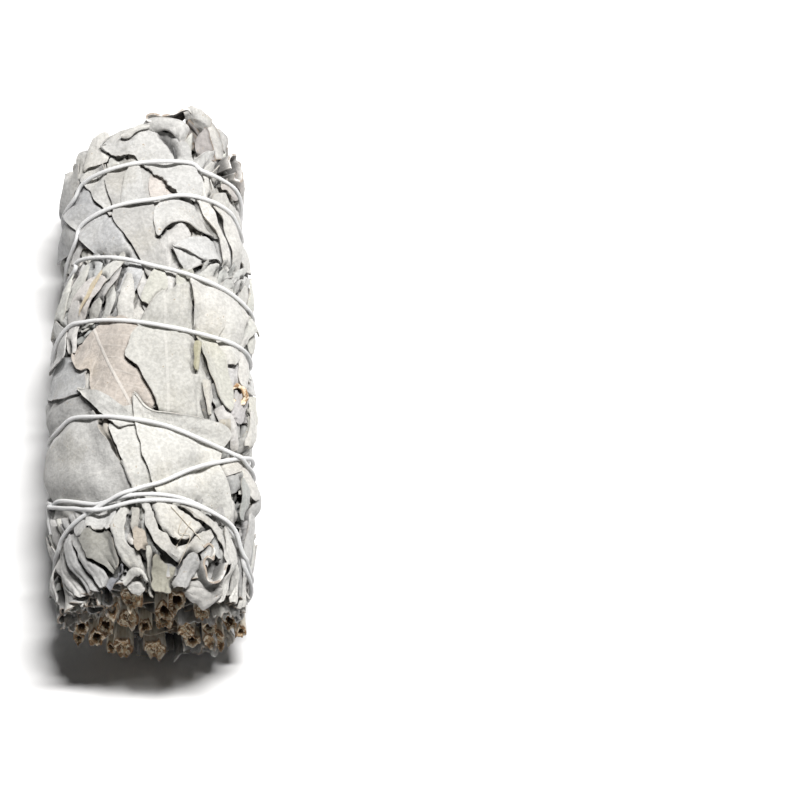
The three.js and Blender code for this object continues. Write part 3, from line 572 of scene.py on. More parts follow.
def lay(name, left, right, tint=PALE, base=(0.1, 0.85), tip=(0.25, 0.45), lift=(0.35, 0.35, 0.2, 0.4),
        arch=0.0, folds=(), ripple=0.13, torn=0.1, size=0.42, thick=LEAF_T, veins=0.3, node=None,
        group=None, sink=0.0, browned=0.4, rib=None, hollows=()):
    """Lays a leaf on the heap and remembers it. base and tip say how far each end narrows, and to what
    share of the width; lift is how far the left, right, base and tip edges curl up; arch bends the
    blade into a ridge along its length; folds are (place across, depth, half-width in mm) creases;
    ripple and torn are how uneven its face and its edges are; size is the step of its grid; veins and
    browned are how much its veins and its torn edges show; node is the solid that it replaces, or
    group the object that it goes into; sink tucks the whole leaf down; rib is the midrib's two ends;
    hollows are (angle, y, depth, half-width) dents in whatever lies under the leaf."""
    seed = sum(ord(c) * (k + 3) for k, c in enumerate(name))
    angle, y, v, width, to_edges = outline_grid(seed, left, right, base, tip, torn, size)
    ends = np.asarray(rib or [np.add(left[0], right[0]) / 2, np.add(left[-1], right[-1]) / 2]) * TO_MM
    ahead = unit(ends[1] - ends[0])
    from_root = np.stack([angle, y], -1) * TO_MM - ends[0]
    x_mm = from_root[..., 0] * ahead[1] - from_root[..., 1] * ahead[0]
    y_mm = from_root @ ahead
    rest = stiffen(read(heap, angle, y), size)
    rest = rest + thick + 0.1 + ripple * 0.6 * waves(seed + 5, x_mm, y_mm, 9.0) - sink
    bend = arch * (np.sqrt(np.clip(1 - (2 * v - 1) ** 2, 0, 1)) - 0.35)
    for place_across, depth, half in folds:
        bend = bend - depth * np.exp(-(((v - place_across) * width) / half) ** 2)
    rest = rest + bend
    curl = edge_curl(seed, x_mm, y_mm, to_edges, lift)
    fine = 0.5 * ripple * waves(seed + 11, x_mm, y_mm, 3.2)
    free = free_gaps(seed, angle, y, lift, size)
    free = free + [(np.array([a]), np.array([b]), depth, half) for a, b, depth, half in hollows]
    leaf = dict(name=name, angle=angle, y=y, out=rest + curl + 0.5 * fine, thick=thick, x_mm=x_mm,
                y_mm=y_mm, edge=np.minimum.reduce(np.broadcast_arrays(*to_edges)), tint=tint,
                veins=veins, node=node, group=group, browned=browned, free=free)
    leaves.append(leaf)
    np.maximum.at(heap, covered(leaf), finer(rest + np.minimum(curl * 0.35, 0.25), FINE))


def tinted(seed, tint, amount=0.035):
    """The tint of one leaf, a little off its family's."""
    rng = np.random.default_rng(seed)
    shade = 1 + rng.normal(0, amount)
    return tuple(c * shade * (1 + rng.normal(0, 0.008)) for c in tint)


# %% [markdown]
# ## Inner leaves under the skin
#
# Under the wrap leaves the stick is packed with narrow leaves, folded along their length and lying
# mostly along it. They show in every gap, so the whole barrel gets them, from a seeded draw.

# %% Narrow leaves under the wrap
NARROW_LEAVES = 96
EVEN_A, EVEN_Y = 0.7549, 0.5698     # steps that spread places evenly over two directions


def drawn_edges(a0, y0, run, half, slant, narrow, swell=0.0, bow=0.0, skew=0.0):
    """Left and right edge of a leaf from a seeded draw. It is half wide to each side, swells and bows
    halfway, and ends slant degrees off with the share narrow of its width."""
    return ([(a0 - half, y0), (a0 - half - swell + slant * 0.5 + bow, y0 + run * 0.5),
             (a0 - half * narrow + slant, y0 + run)],
            [(a0 + half, y0 + skew), (a0 + half + swell + slant * 0.5 + bow, y0 + run * 0.5),
             (a0 + half * narrow + slant, y0 + run)])


draw = np.random.default_rng(41)
for k in range(NARROW_LEAVES):
    a0 = 360 * (k * EVEN_A % 1) + draw.uniform(-4, 4)
    y0 = -45.5 + 74 * (k * EVEN_Y % 1) + draw.uniform(0, 4)
    run = min(draw.uniform(22, 40), 45.0 - y0)
    slant = draw.uniform(-16, 16)
    half = draw.uniform(6, 11)
    shade = (COOL, PALE, GREY, COOL_PALE)[k % 4]
    lay(f"narrow_{k}", *drawn_edges(a0, y0, run, half, slant, 0.8), tint=tinted(k, shade),
        arch=draw.uniform(0.6, 1.6), size=1.1, lift=(0.1, 0.2, 0.1, 0.5),
        group="narrow_leaves_" + ("near", "far")[int(y0 > -12)], tip=(0.4, 0.2))
print("narrow leaves under the wrap:", NARROW_LEAVES)


def crumple(name, box, count, seed, tints, heading=(-35, 35), width=(2.4, 4.4), run=(5, 11),
            arch=(0.4, 1.1), size=0.5, lift=0.35, sink=0.0, group=None, thick=0.36):
    """Small folded leaves strewn over a part of the barrel: box is (angle from, to, y from, to), and
    heading is their turn away from the stick's own direction, in degrees."""
    draw = np.random.default_rng(seed)
    a0, a1, y0, y1 = box
    for k in range(count):
        a = a0 + (a1 - a0) * ((k + 0.5) * EVEN_A % 1)
        y = y0 + (y1 - y0) * ((k + 0.5) * EVEN_Y % 1)
        half_run = draw.uniform(*run) / 2
        half = draw.uniform(*width) / 2
        turn = math.radians(draw.uniform(*heading))
        along = np.array([math.sin(turn) / MM_PER_DEG, math.cos(turn)])
        side = np.array([math.cos(turn) / MM_PER_DEG, -math.sin(turn)])
        bend = draw.uniform(-0.25, 0.25) * half_run
        spine = [-half_run * along, bend * side, half_run * along]
        left = [tuple(np.array([a, y]) + p - half * side) for p in spine]
        right = [tuple(np.array([a, y]) + p + half * side) for p in spine]
        tint = tints[int(draw.integers(len(tints)))]
        lay(f"{name}_{k}", left, right, tint=tinted(seed + k, tint), arch=draw.uniform(*arch), size=size,
            lift=(lift, lift * 0.6, lift * 0.5, lift), group=group or name, base=(0.2, 0.5),
            tip=(0.35, 0.35), sink=sink, thick=thick)


# %% [markdown]
# ## The sides and the underside
#
# The photograph never shows them, but the stick is the same all round: broad leaves lying a little
# askew, with the string over them. A seeded draw lays them, also under the leaves that face the eye.

# %% Broad leaves all round
BROAD_LEAVES = 84
draw = np.random.default_rng(7)
for k in range(BROAD_LEAVES):
    a0 = 360 * (k * EVEN_A % 1)
    y0 = -45.8 + 63 * (k * EVEN_Y % 1)
    run = min(draw.uniform(24, 40), 42.5 - y0)
    slant = draw.uniform(-26, 26)
    half = draw.uniform(13, 21)
    bow = draw.uniform(-5, 5)
    edges = drawn_edges(a0, y0, run, half, slant, 0.7, 2.0, bow, draw.uniform(-3, 3))
    tint = (COOL_PALE, PALE, COOL, GREENISH, COOL_PALE, PALE, GREY)[k % 7]
    side = "over" if min(a0, 360 - a0) < 60 else "left" if a0 > 230 else "right" if a0 < 130 else "under"
    lay(f"broad_{k}", *edges, tint=tinted(90 + k, tint), size=0.9, base=(0.18, 0.5), tip=(0.45, 0.12),
        lift=(0.5, 0.6, 0.2, 0.8), group=f"broad_leaves_{side}", folds=((0.5, 0.25, 0.7),), veins=0.6)
crumple("side_fold_right", (78, 150, -44, 40), 30, 11, (COOL, PALE, COOL_PALE), size=0.8)
crumple("side_fold_left", (210, 282, -44, 40), 30, 12, (COOL, PALE, COOL_PALE), size=0.8)
print("leaves so far:", len(leaves))

# %% [markdown]
# ## The leaves that face the eye, upper part
#
# These are laid one by one, lowest first, because their outlines are what makes this stick this one: a
# long grey leaf whose raised edge catches the light, a pointed fold, and a crown leaf across the top.

# %% Leaves near the tips
FULL = (0.02, 1)        # an end that keeps the leaf's full width
crumple("left_hollow", (-64, -40, 12, 30), 12, 21, (COOL, PALE, TAN), heading=(20, 75), width=(1.8, 3.4),
    run=(4, 8), sink=0.5)
lay("right_tip_under", [(28, 29.5), (29, 35), (32, 42)], [(74, 30), (72, 36), (64, 43)], tint=COOL_PALE,
    node="right_upper", lift=(0.3, 0.3, 0.1, 0.7))
lay("right_lower_shoulder", [(36, 31.5), (40, 28), (45, 25), (52, 22)],
    [(60, 31.5), (66, 27.5), (70, 24), (78, 21)], tint=PALE, group="right_shoulder_leaves",
    lift=(0.6, 0.3, 0.1, 0.2))
lay("long_grey_leaf_top", [(-84, 22), (-98, 27), (-98, 33), (-78, 40)],
    [(-22, 27.5), (-32, 31), (-45, 36), (-60, 42.5)], tint=(0.455, 0.46, 0.47), node="grey_shoulder",
    lift=(0.5, 0.2, 0.2, 0.6), veins=0.1, base=(0.25, 0.5))
lay("long_grey_leaf", [(-14, 6.5), (-23, 12), (-31, 17.3), (-40, 21.8), (-49, 25.8), (-63, 31.2)],
    [(-12, 7), (-4, 12), (-3, 16.4), (-9, 21.2), (-17, 25.4), (-36, 30.6), (-60, 32)],
    tint=(0.555, 0.558, 0.564), node="long_strip", lift=(1.2, 0.2, 0.2, 0.3), base=FULL, tip=FULL)
lay("slim_leaf", [(-24, 27.6), (-37, 33), (-49, 37.8), (-63, 43)],
    [(-16, 28), (-22, 33), (-28, 37.6), (-36, 43), (-48, 45.4)], tint=COOL_PALE, node="slim_strip",
    lift=(1.0, 0.4, 0.1, 0.8), base=FULL, tip=(0.1, 0.6))
lay("cool_leaf", [(2, 11.6), (-2, 15.8), (-9, 20.2), (-15, 23.2), (-20, 26.2), (-23, 31), (-28, 38.4)],
    [(15, 12), (10, 17), (7, 22), (5.5, 26), (4.5, 30), (2.5, 34), (4, 40)], tint=(0.49, 0.483, 0.468),
    node="cool_leaf", lift=(0.75, 0.5, 0.3, 0.2), base=(0.1, 0.5), tip=(0.08, 0.9))
lay("narrow_top_leaf", [(-17, 29.4), (-14, 34), (-12, 38.6)], [(1, 30), (-2, 34), (-5, 39)],
    tint=COOL_PALE, group="narrow_top_leaves", lift=(0.15, 0.2, 0.1, 0.1), arch=0.15)
lay("pink_leaf", [(1.5, 30.6), (2, 33.4), (3, 37)], [(19, 31), (16, 33), (12, 35.8)], tint=PINKISH,
    group="narrow_top_leaves", lift=(0.3, 0.2, 0.3, 0.1))
lay("right_tip_strip_1", [(29, 30.4), (31, 35), (33, 40.5)], [(34, 30.4), (37, 35), (40, 40.5)],
    tint=COOL_PALE, group="right_tip_leaves", arch=0.5, lift=(0.3, 0.3, 0.1, 0.4))
lay("right_tip_strip_2", [(36.5, 30.6), (38, 35), (40, 40)], [(43, 30.6), (46, 35), (48, 40)], tint=PALE,
    group="right_tip_leaves", arch=0.4, lift=(0.4, 0.3, 0.1, 0.4))
lay("right_tip_leaf", [(43, 29.4), (45, 35), (47, 40.5)], [(84, 29.6), (80, 35), (70, 40.5)], tint=PALE,
    group="right_tip_leaves", lift=(0.5, 0.3, 0.1, 0.5))

print("leaves laid so far:", len(leaves))

# %% Folded leaves and the right shoulder
lay("folded_under_side", [(118, 16), (98, 14.4), (75, 15.2), (60, 15.8), (50, 16.8), (43, 17.6),
     (36, 16.8), (30, 15.6), (25.5, 14.8), (20, 16), (15.6, 19.1)],
    [(118, 18), (98, 18.4), (75, 18.4), (55, 19), (42, 19.2), (30, 19.2), (15.6, 19.1)], tint=COOL_PALE,
    group="right_shoulder_leaves", lift=(1.2, 0.1, 0.1, 0.2), tip=FULL, base=(0.25, 0.2), torn=0.05)
lay("folded_tip_leaf", [(122, 19), (100, 16.4), (75, 17.6), (55, 18.5), (46, 18.7), (40, 17.9),
     (34, 17.5), (25, 18.3), (15.4, 19.1)],
    [(122, 22), (100, 25), (78, 25), (60, 24.8), (50, 24.2), (35, 22.6), (25, 21.4), (15.4, 19.1)],
    tint=(0.60, 0.60, 0.592), node="folded_tip_leaf", lift=(0.5, 0.1, 0.3, 0.4), tip=FULL,
    base=(0.25, 0.15), torn=0.05)
lay("pointed_leaf",
    [(50, 23.4), (42, 23.6), (33, 23.8), (25, 24.7), (17, 24.5), (11.5, 23.4), (7.2, 21.7)],
    [(40, 31.6), (30, 31.8), (20, 31.4), (11, 30.6), (5.4, 28), (4.6, 25), (7.2, 21.7)],
    tint=(0.61, 0.605, 0.59), node="pointed_fold", lift=(1.4, 0.2, 0.2, 0.2), base=FULL, tip=FULL,
    torn=0.05)
lay("right_shoulder_leaf",
    [(49, 30.2), (55, 28.2), (62, 26.2), (65.5, 24.4), (68, 22.4), (80, 21.7), (100, 22.4), (122, 26)],
    [(54, 34), (62, 34.4), (70, 35), (76, 35.4), (84, 35.6), (92, 35.6), (106, 34), (122, 30)],
    tint=(0.62, 0.613, 0.59), node="right_shoulder", lift=(1.1, 0.3, 0.4, 0.3), tip=(0.3, 0.15),
    base=(0.1, 0.7))

lay("shoulder_strip_1", [(30.5, 36.4), (31.5, 33), (37, 27.4), (48.5, 22.4), (60, 15.6)],
    [(36, 36.2), (42.6, 30.6), (52, 25.2), (61.6, 20.6), (68, 14)], tint=(0.68, 0.668, 0.64),
    group="right_shoulder_leaves", lift=(0.9, 0.3, 0.1, 0.3), arch=0.4, tip=(0.3, 0.3))
lay("shoulder_strip_2", [(43, 33), (50, 28.4), (58, 24), (66, 19), (73, 13)],
    [(58, 34.6), (64, 31), (70, 26), (77, 20), (84, 13)], tint=PALE, group="right_shoulder_leaves",
    lift=(0.9, 0.3, 0.1, 0.3), arch=0.4, tip=(0.3, 0.3))
print("leaves laid so far:", len(leaves))

# %% Crown leaf and the leaves that stand past the last turn
HELD_Y = 42.0            # past this the leaves stand out free, at the height they had here
held_row = cells(0, HELD_Y)[0]
heap[held_row:] = np.maximum(heap[held_row:], heap[held_row] - 0.3)
lay("left_tip_leaf", [(-80, 33), (-74, 37), (-64, 41.6)], [(-52, 37), (-48, 41), (-53, 43.6)], tint=COOL,
    group="left_tip_leaves", lift=(0.4, 0.4, 0.1, 0.6))
lay("blunt_tip_leaf", [(-46, 39.6), (-45, 43), (-41, 46)], [(-27, 40), (-26, 44.4), (-28, 47.2)],
    tint=PALE, group="left_tip_leaves", lift=(0.4, 0.5, 0.1, 0.8), tip=(0.12, 0.8), arch=0.4)
DUSKY = (0.470, 0.445, 0.430)
crumple("right_tip_fold", (58, 88, 36.5, 41), 7, 33, (DUSKY, COOL, PALE, PINKISH), heading=(-30, 50),
    width=(2.6, 5.0), run=(5, 9), arch=(0.9, 1.7), lift=0.9, size=0.42, group="tip_leaves")
lay("tip_corner_leaf", [(68, 38.5), (67, 41.5), (68, 44.6)], [(84, 38), (85, 41), (78, 44.2)], tint=DUSKY,
    group="tip_leaves", lift=(0.9, 0.6, 0.3, 0.6), tip=(0.2, 0.6), arch=0.6)
lay("crown_leaf", [(31, 30.4), (22, 31.6), (12, 34), (3, 36.2), (-5, 39), (-10, 40.3), (-22, 40.7),
     (-27, 41.8), (-30, 43.6)], [(36, 31.5), (34, 36), (30, 39.6), (24, 42.6), (14, 44.8), (4, 45.8),
     (-8, 46.2), (-20, 45.8), (-30, 43.6)], tint=COOL_PALE, node="crown", lift=(0.85, 0.7, 0.1, 0.3),
    base=FULL, tip=FULL, torn=0.26)
lay("crown_curl", [(-15, 43.6), (-9, 44.0), (-4, 45.2), (2, 45.4)],
    [(-16, 45), (-10, 45.6), (-4, 46.8), (2, 46.6)], tint=PALE, group="tip_leaves", arch=0.6, size=0.3,
    lift=(0.4, 0.3, 0.3, 0.2), base=(0.2, 0.4), hollows=((9, 44.6, 1.2, 0.5), (10.8, 44.3, 1.7, 0.55),
     (12.6, 43.8, 2.1, 0.6), (14.4, 43.3, 2.3, 0.6), (16, 42.7, 2.4, 0.6), (17.4, 42.0, 2.4, 0.6),
     (18.8, 41.3, 2.2, 0.55), (20.2, 40.5, 1.8, 0.5), (60, 40.6, 3.0, 1.6), (63, 41.4, 2.0, 1.0)))
print("leaves laid so far:", len(leaves))

# %% [markdown]
# ## The middle
#
# Here the leaves are smaller and torn. A warm grey leaf with a pale midrib lies under a pale one,
# and small folds fill the places between them.

# %% Leaves of the middle
crumple("left_middle_small", (-66, -18, 2, 16), 16, 57, (COOL, PALE, GREY, COOL_PALE), heading=(0, 70),
    width=(1.6, 3.2), run=(4, 9), group="middle_folds", lift=0.9, arch=(0.4, 1.0))
crumple("left_middle_fold", (-66, -20, 3, 15), 13, 52, (COOL, PALE, COOL_PALE), heading=(15, 60),
    width=(2.4, 5.0), run=(7, 13), group="middle_folds", lift=1.0, arch=(0.3, 0.9))
crumple("right_middle_small", (30, 86, 5, 16), 12, 58, (PALE, COOL, COOL_PALE), heading=(-70, 60),
    width=(1.6, 3.4), run=(4, 9), group="middle_folds", lift=0.9, arch=(0.3, 0.9))
crumple("right_middle_fold", (30, 84, 6, 15), 9, 53, (PALE, COOL_PALE), heading=(-70, 50),
    width=(2.6, 5.2), run=(6, 12), group="middle_folds", lift=0.9, arch=(0.2, 0.8))
lay("yellow_strip", [(-42, 6.4), (-33, 9.4), (-24.5, 13.6)], [(-40, 7.6), (-33, 11), (-25.5, 15)],
    tint=(0.62, 0.53, 0.38), group="middle_folds", arch=0.3, size=0.3, lift=(0.4, 0.2, 0.2, 0.2))
lay("small_middle_leaf", [(-17.5, 2.6), (-16.5, 7), (-12, 13.6)], [(-8, 2.8), (-6.5, 7), (-6, 12.8)],
    tint=PALE, group="middle_leaves", lift=(0.6, 0.6, 0.1, 0.4), arch=0.3)
lay("greenish_leaf", [(-3, 7.4), (0, 11), (5, 15.4)], [(11, 5.6), (13, 10), (13, 14.6)], tint=GREENISH,
    group="middle_leaves", lift=(0.4, 0.4, 0.6, 0.2))
lay("greenish_right_leaf", [(16, 5), (17, 9), (19, 14.6)], [(28, 8), (30, 11), (32, 15)], tint=GREENISH,
    group="middle_leaves", lift=(0.5, 0.3, 0.4, 0.2))


print("leaves laid so far:", len(leaves))

# %% Leaves of both sides
lay("left_mid_leaf", [(-118, -9), (-92, -7), (-70, -7.2), (-50, -8.6), (-36, -9.8), (-26, -12)],
    [(-118, -14), (-94, -18), (-70, -18), (-50, -17.4), (-34, -17), (-21, -17)],
    tint=(0.43, 0.428, 0.422), node="left_mid", lift=(0.2, 0.2, 0.3, 0.2), tip=(0.1, 0.8),
    base=(0.3, 0.15))
lay("grey_side_leaf", [(-126, 4), (-104, 6), (-84, 4.6), (-70, 1.8), (-62, 0.2), (-50, -1), (-36, -1.6)],
    [(-126, 0), (-104, -4.6), (-84, -6.2), (-72, -7.8), (-60, -9.2), (-50, -10), (-37, -10.6)],
    tint=(0.50, 0.505, 0.512), node="grey_side_leaf", lift=(0.4, 0.6, 0.3, 0.2), tip=(0.1, 0.8),
    base=(0.25, 0.15), veins=0.3)
lay("left_ear", [(-84, -1), (-84, 3), (-70, 7.6)], [(-50, -1.4), (-52, 3), (-62, 7.6)], tint=COOL_PALE,
    group="middle_leaves", lift=(0.5, 1.1, 0.2, 0.6), tip=(0.1, 0.8), arch=0.3)
lay("right_low_leaf", [(52, -5), (50, -12), (52, -20), (60, -29)],
    [(88, -2), (104, -10), (104, -20), (88, -30)], tint=COOL_PALE, node="right_low",
    lift=(0.6, 0.4, 0.3, 0.3), base=(0.3, 0.3), tip=(0.35, 0.2))
crumple("right_low_fold", (46, 80, -22, -10), 12, 55, (PALE, COOL_PALE, COOL), heading=(-60, 60),
    group="right_folds", lift=0.5)
lay("right_flank_leaf", [(42, 13.6), (40, 8), (42, 3), (46, -1.4), (52, -4), (57, -6.6)],
    [(88, 18), (108, 10), (108, 2), (100, -3), (88, -6), (78, -7)], tint=COOL_PALE, node="right_flank",
    lift=(0.6, 0.4, 0.3, 0.7), torn=0.25, base=(0.2, 0.5))
crumple("right_flank_fold", (50, 86, -4, 13), 14, 59, (COOL_PALE, PALE, PALE), heading=(-24, 30),
    width=(2.2, 4.2), run=(8, 15), group="right_folds", lift=0.9, arch=(0.3, 0.9))


print("leaves laid so far:", len(leaves))

# %% The warm leaf, the pale leaf and what lies beside them
lay("warm_leaf", [(-46, -1.2), (-44, -3.6), (-39, -5.4), (-34, -6), (-33, -9), (-27, -12.6), (-15, -15.2),
     (-6, -17.4)],
    [(-46, -1.2), (-38, 2), (-28, 4.4), (-16, 4.8), (-4, 2.6), (-4, -4), (3, -9), (6, -12.5), (5, -17.4)],
    tint=WARM, node="warm_leaf", lift=(0.9, 0.1, 0.2, 0.2), base=FULL, tip=(0.12, 0.5), torn=0.2,
    veins=1.3, browned=0.15, rib=((-32, 2.3), (-10, -13)))
lay("pale_leaf",
    [(9, 9.4), (2, 6.2), (-3, 3), (-7, 0), (-10.4, -4), (-4, -7.2), (0, -9.4), (4, -12.4), (11, -18.6)],
    [(25, 11.6), (28, 6), (32, 0.6), (37, -4.5), (40.6, -9.6), (38, -18.6)], tint=(0.545, 0.538, 0.508),
    node="pale_leaf", lift=(0.9, 0.2, 0.3, 0.2), torn=0.14, base=(0.03, 0.9), tip=(0.05, 0.9), veins=0.7,
    folds=((0.28, 0.22, 0.5), (0.72, 0.3, 0.45), (0.86, -0.2, 0.5)), rib=((11, 10), (13, -18)))
lay("flank_slip", [(45, 12.6), (44, 8), (42.6, 2), (46, -3.4)], [(57, 13), (61, 7), (61.6, 1), (57, -4)],
    tint=(0.61, 0.602, 0.575), group="middle_leaves", lift=(0.7, 0.5, 0.2, 0.4), tip=(0.2, 0.5), arch=0.2)
lay("right_of_pale_upper", [(26, 13.6), (26.5, 10), (28.5, 6), (31.5, 1.4)],
    [(46, 14), (47, 8), (48, 3), (43, -1.6)], tint=PALE, group="middle_leaves", lift=(0.9, 0.3, 0.2, 0.3))
lay("right_of_pale_lower", [(31, 3), (34, -2), (38, -6.4), (41, -10.4)],
    [(45, 2), (50, -3), (54.5, -8), (52, -15)], tint=GREENISH, group="middle_leaves",
    lift=(0.9, 0.4, 0.2, 0.4), tip=(0.2, 0.6))
lay("pod_roll", [(28.5, -0.6), (27, -4), (26.2, -7.4)], [(33.5, -0.8), (31.5, -4), (29.6, -7.4)],
    tint=(0.40, 0.38, 0.27), group="middle_folds", arch=0.9, size=0.3, lift=(0.6, 0.4, 0.2, 0.6))
lay("small_roll", [(32, -9), (33, -12), (35, -16)], [(37, -9), (37, -12), (38, -16)],
    tint=(0.56, 0.54, 0.49), group="middle_folds", arch=0.8, size=0.3, lift=(0.9, 0.4, 0.3, 0.3))
lay("speckled_scrap", [(43, -16.4), (42.5, -18.8), (44, -21)], [(49.5, -16), (50.5, -18.5), (48, -20.8)],
    tint=(0.50, 0.47, 0.41), group="middle_folds", arch=0.4, size=0.3, lift=(0.6, 0.6, 0.4, 0.4))
print("leaves laid so far:", len(leaves))

# %% [markdown]
# ## The lower part
#
# Above the cut end lie the broadest leaves, smooth and nearly flat, with one dark diagonal gap.

# %% Leaves of the lower part
crumple("right_low_crumple", (44, 84, -35, -24), 18, 61, (GREY, COOL, PALE), heading=(-70, 70),
    width=(2.6, 5.0), run=(6, 11), arch=(0.6, 1.5), group="right_folds", lift=0.7, size=0.45)
lay("shaded_strip", [(-34, -14), (-28, -19), (-17, -26), (-8, -33)],
    [(-12, -15), (-11, -21), (-7, -27), (-1, -34)], tint=(0.50, 0.47, 0.42), group="lower_leaves",
    lift=(0.2, 0.2, 0.1, 0.1))
lay("left_low_leaf", [(-78, -14.6), (-94, -20), (-92, -27), (-68, -35)],
    [(-30.5, -14.6), (-24.5, -19.6), (-17.5, -23.4), (-3, -33.4)], tint=(0.535, 0.53, 0.515),
    node="left_low", lift=(0.3, 0.9, 0.1, 0.2), base=FULL, tip=(0.05, 0.95), veins=0.5,
    rib=((-16, -27), (-72, -29)))
lay("bright_strip", [(-22.5, -14.6), (-20.5, -18), (-17, -21.4), (-12, -25.6), (-8, -29), (-2, -35)],
    [(0, -14.8), (1, -20), (5, -26), (10, -31), (16, -35)], tint=(0.635, 0.63, 0.602), node="strip_low",
    lift=(0.9, 0.1, 0.1, 0.2), base=FULL, tip=(0.05, 0.9))
lay("rolled_edge", [(-12.4, -26), (-9.6, -29.4), (-6, -33.6)], [(-8.6, -26.6), (-5.6, -30), (-2, -33.8)],
    tint=PALE, group="lower_leaves", arch=0.6, size=0.3, lift=(0.4, 0.2, 0.2, 0.2))
lay("bright_point", [(-14, -19), (-25, -15.6), (-32, -12.8), (-40, -9.4)],
    [(-3, -18), (-11, -15.4), (-24, -11.4), (-40, -9.4)], tint=(0.645, 0.64, 0.615), group="lower_leaves",
    lift=(0.9, 0.3, 0.1, 0.2), base=FULL, tip=FULL)
lay("largest_leaf", [(-6, -12.4), (-6, -17), (-3.5, -21), (-0.5, -25), (3.5, -29.5), (11, -36)],
    [(-6, -12.4), (6, -16.4), (48, -18), (44.5, -25.4), (49, -30), (56, -36)], tint=(0.650, 0.643, 0.612),
    node="largest_leaf", lift=(0.45, 1.1, 0.1, 0.2), base=FULL, tip=(0.05, 0.95), veins=0.7,
    rib=((2, -19), (20, -35)))
print("leaves laid so far:", len(leaves))

# %% [markdown]
# ## Folds at the cut end
#
# Below the last turns nothing holds the leaves flat. They stand out as fingers, rolls and crescents
# that bend in over the cut.

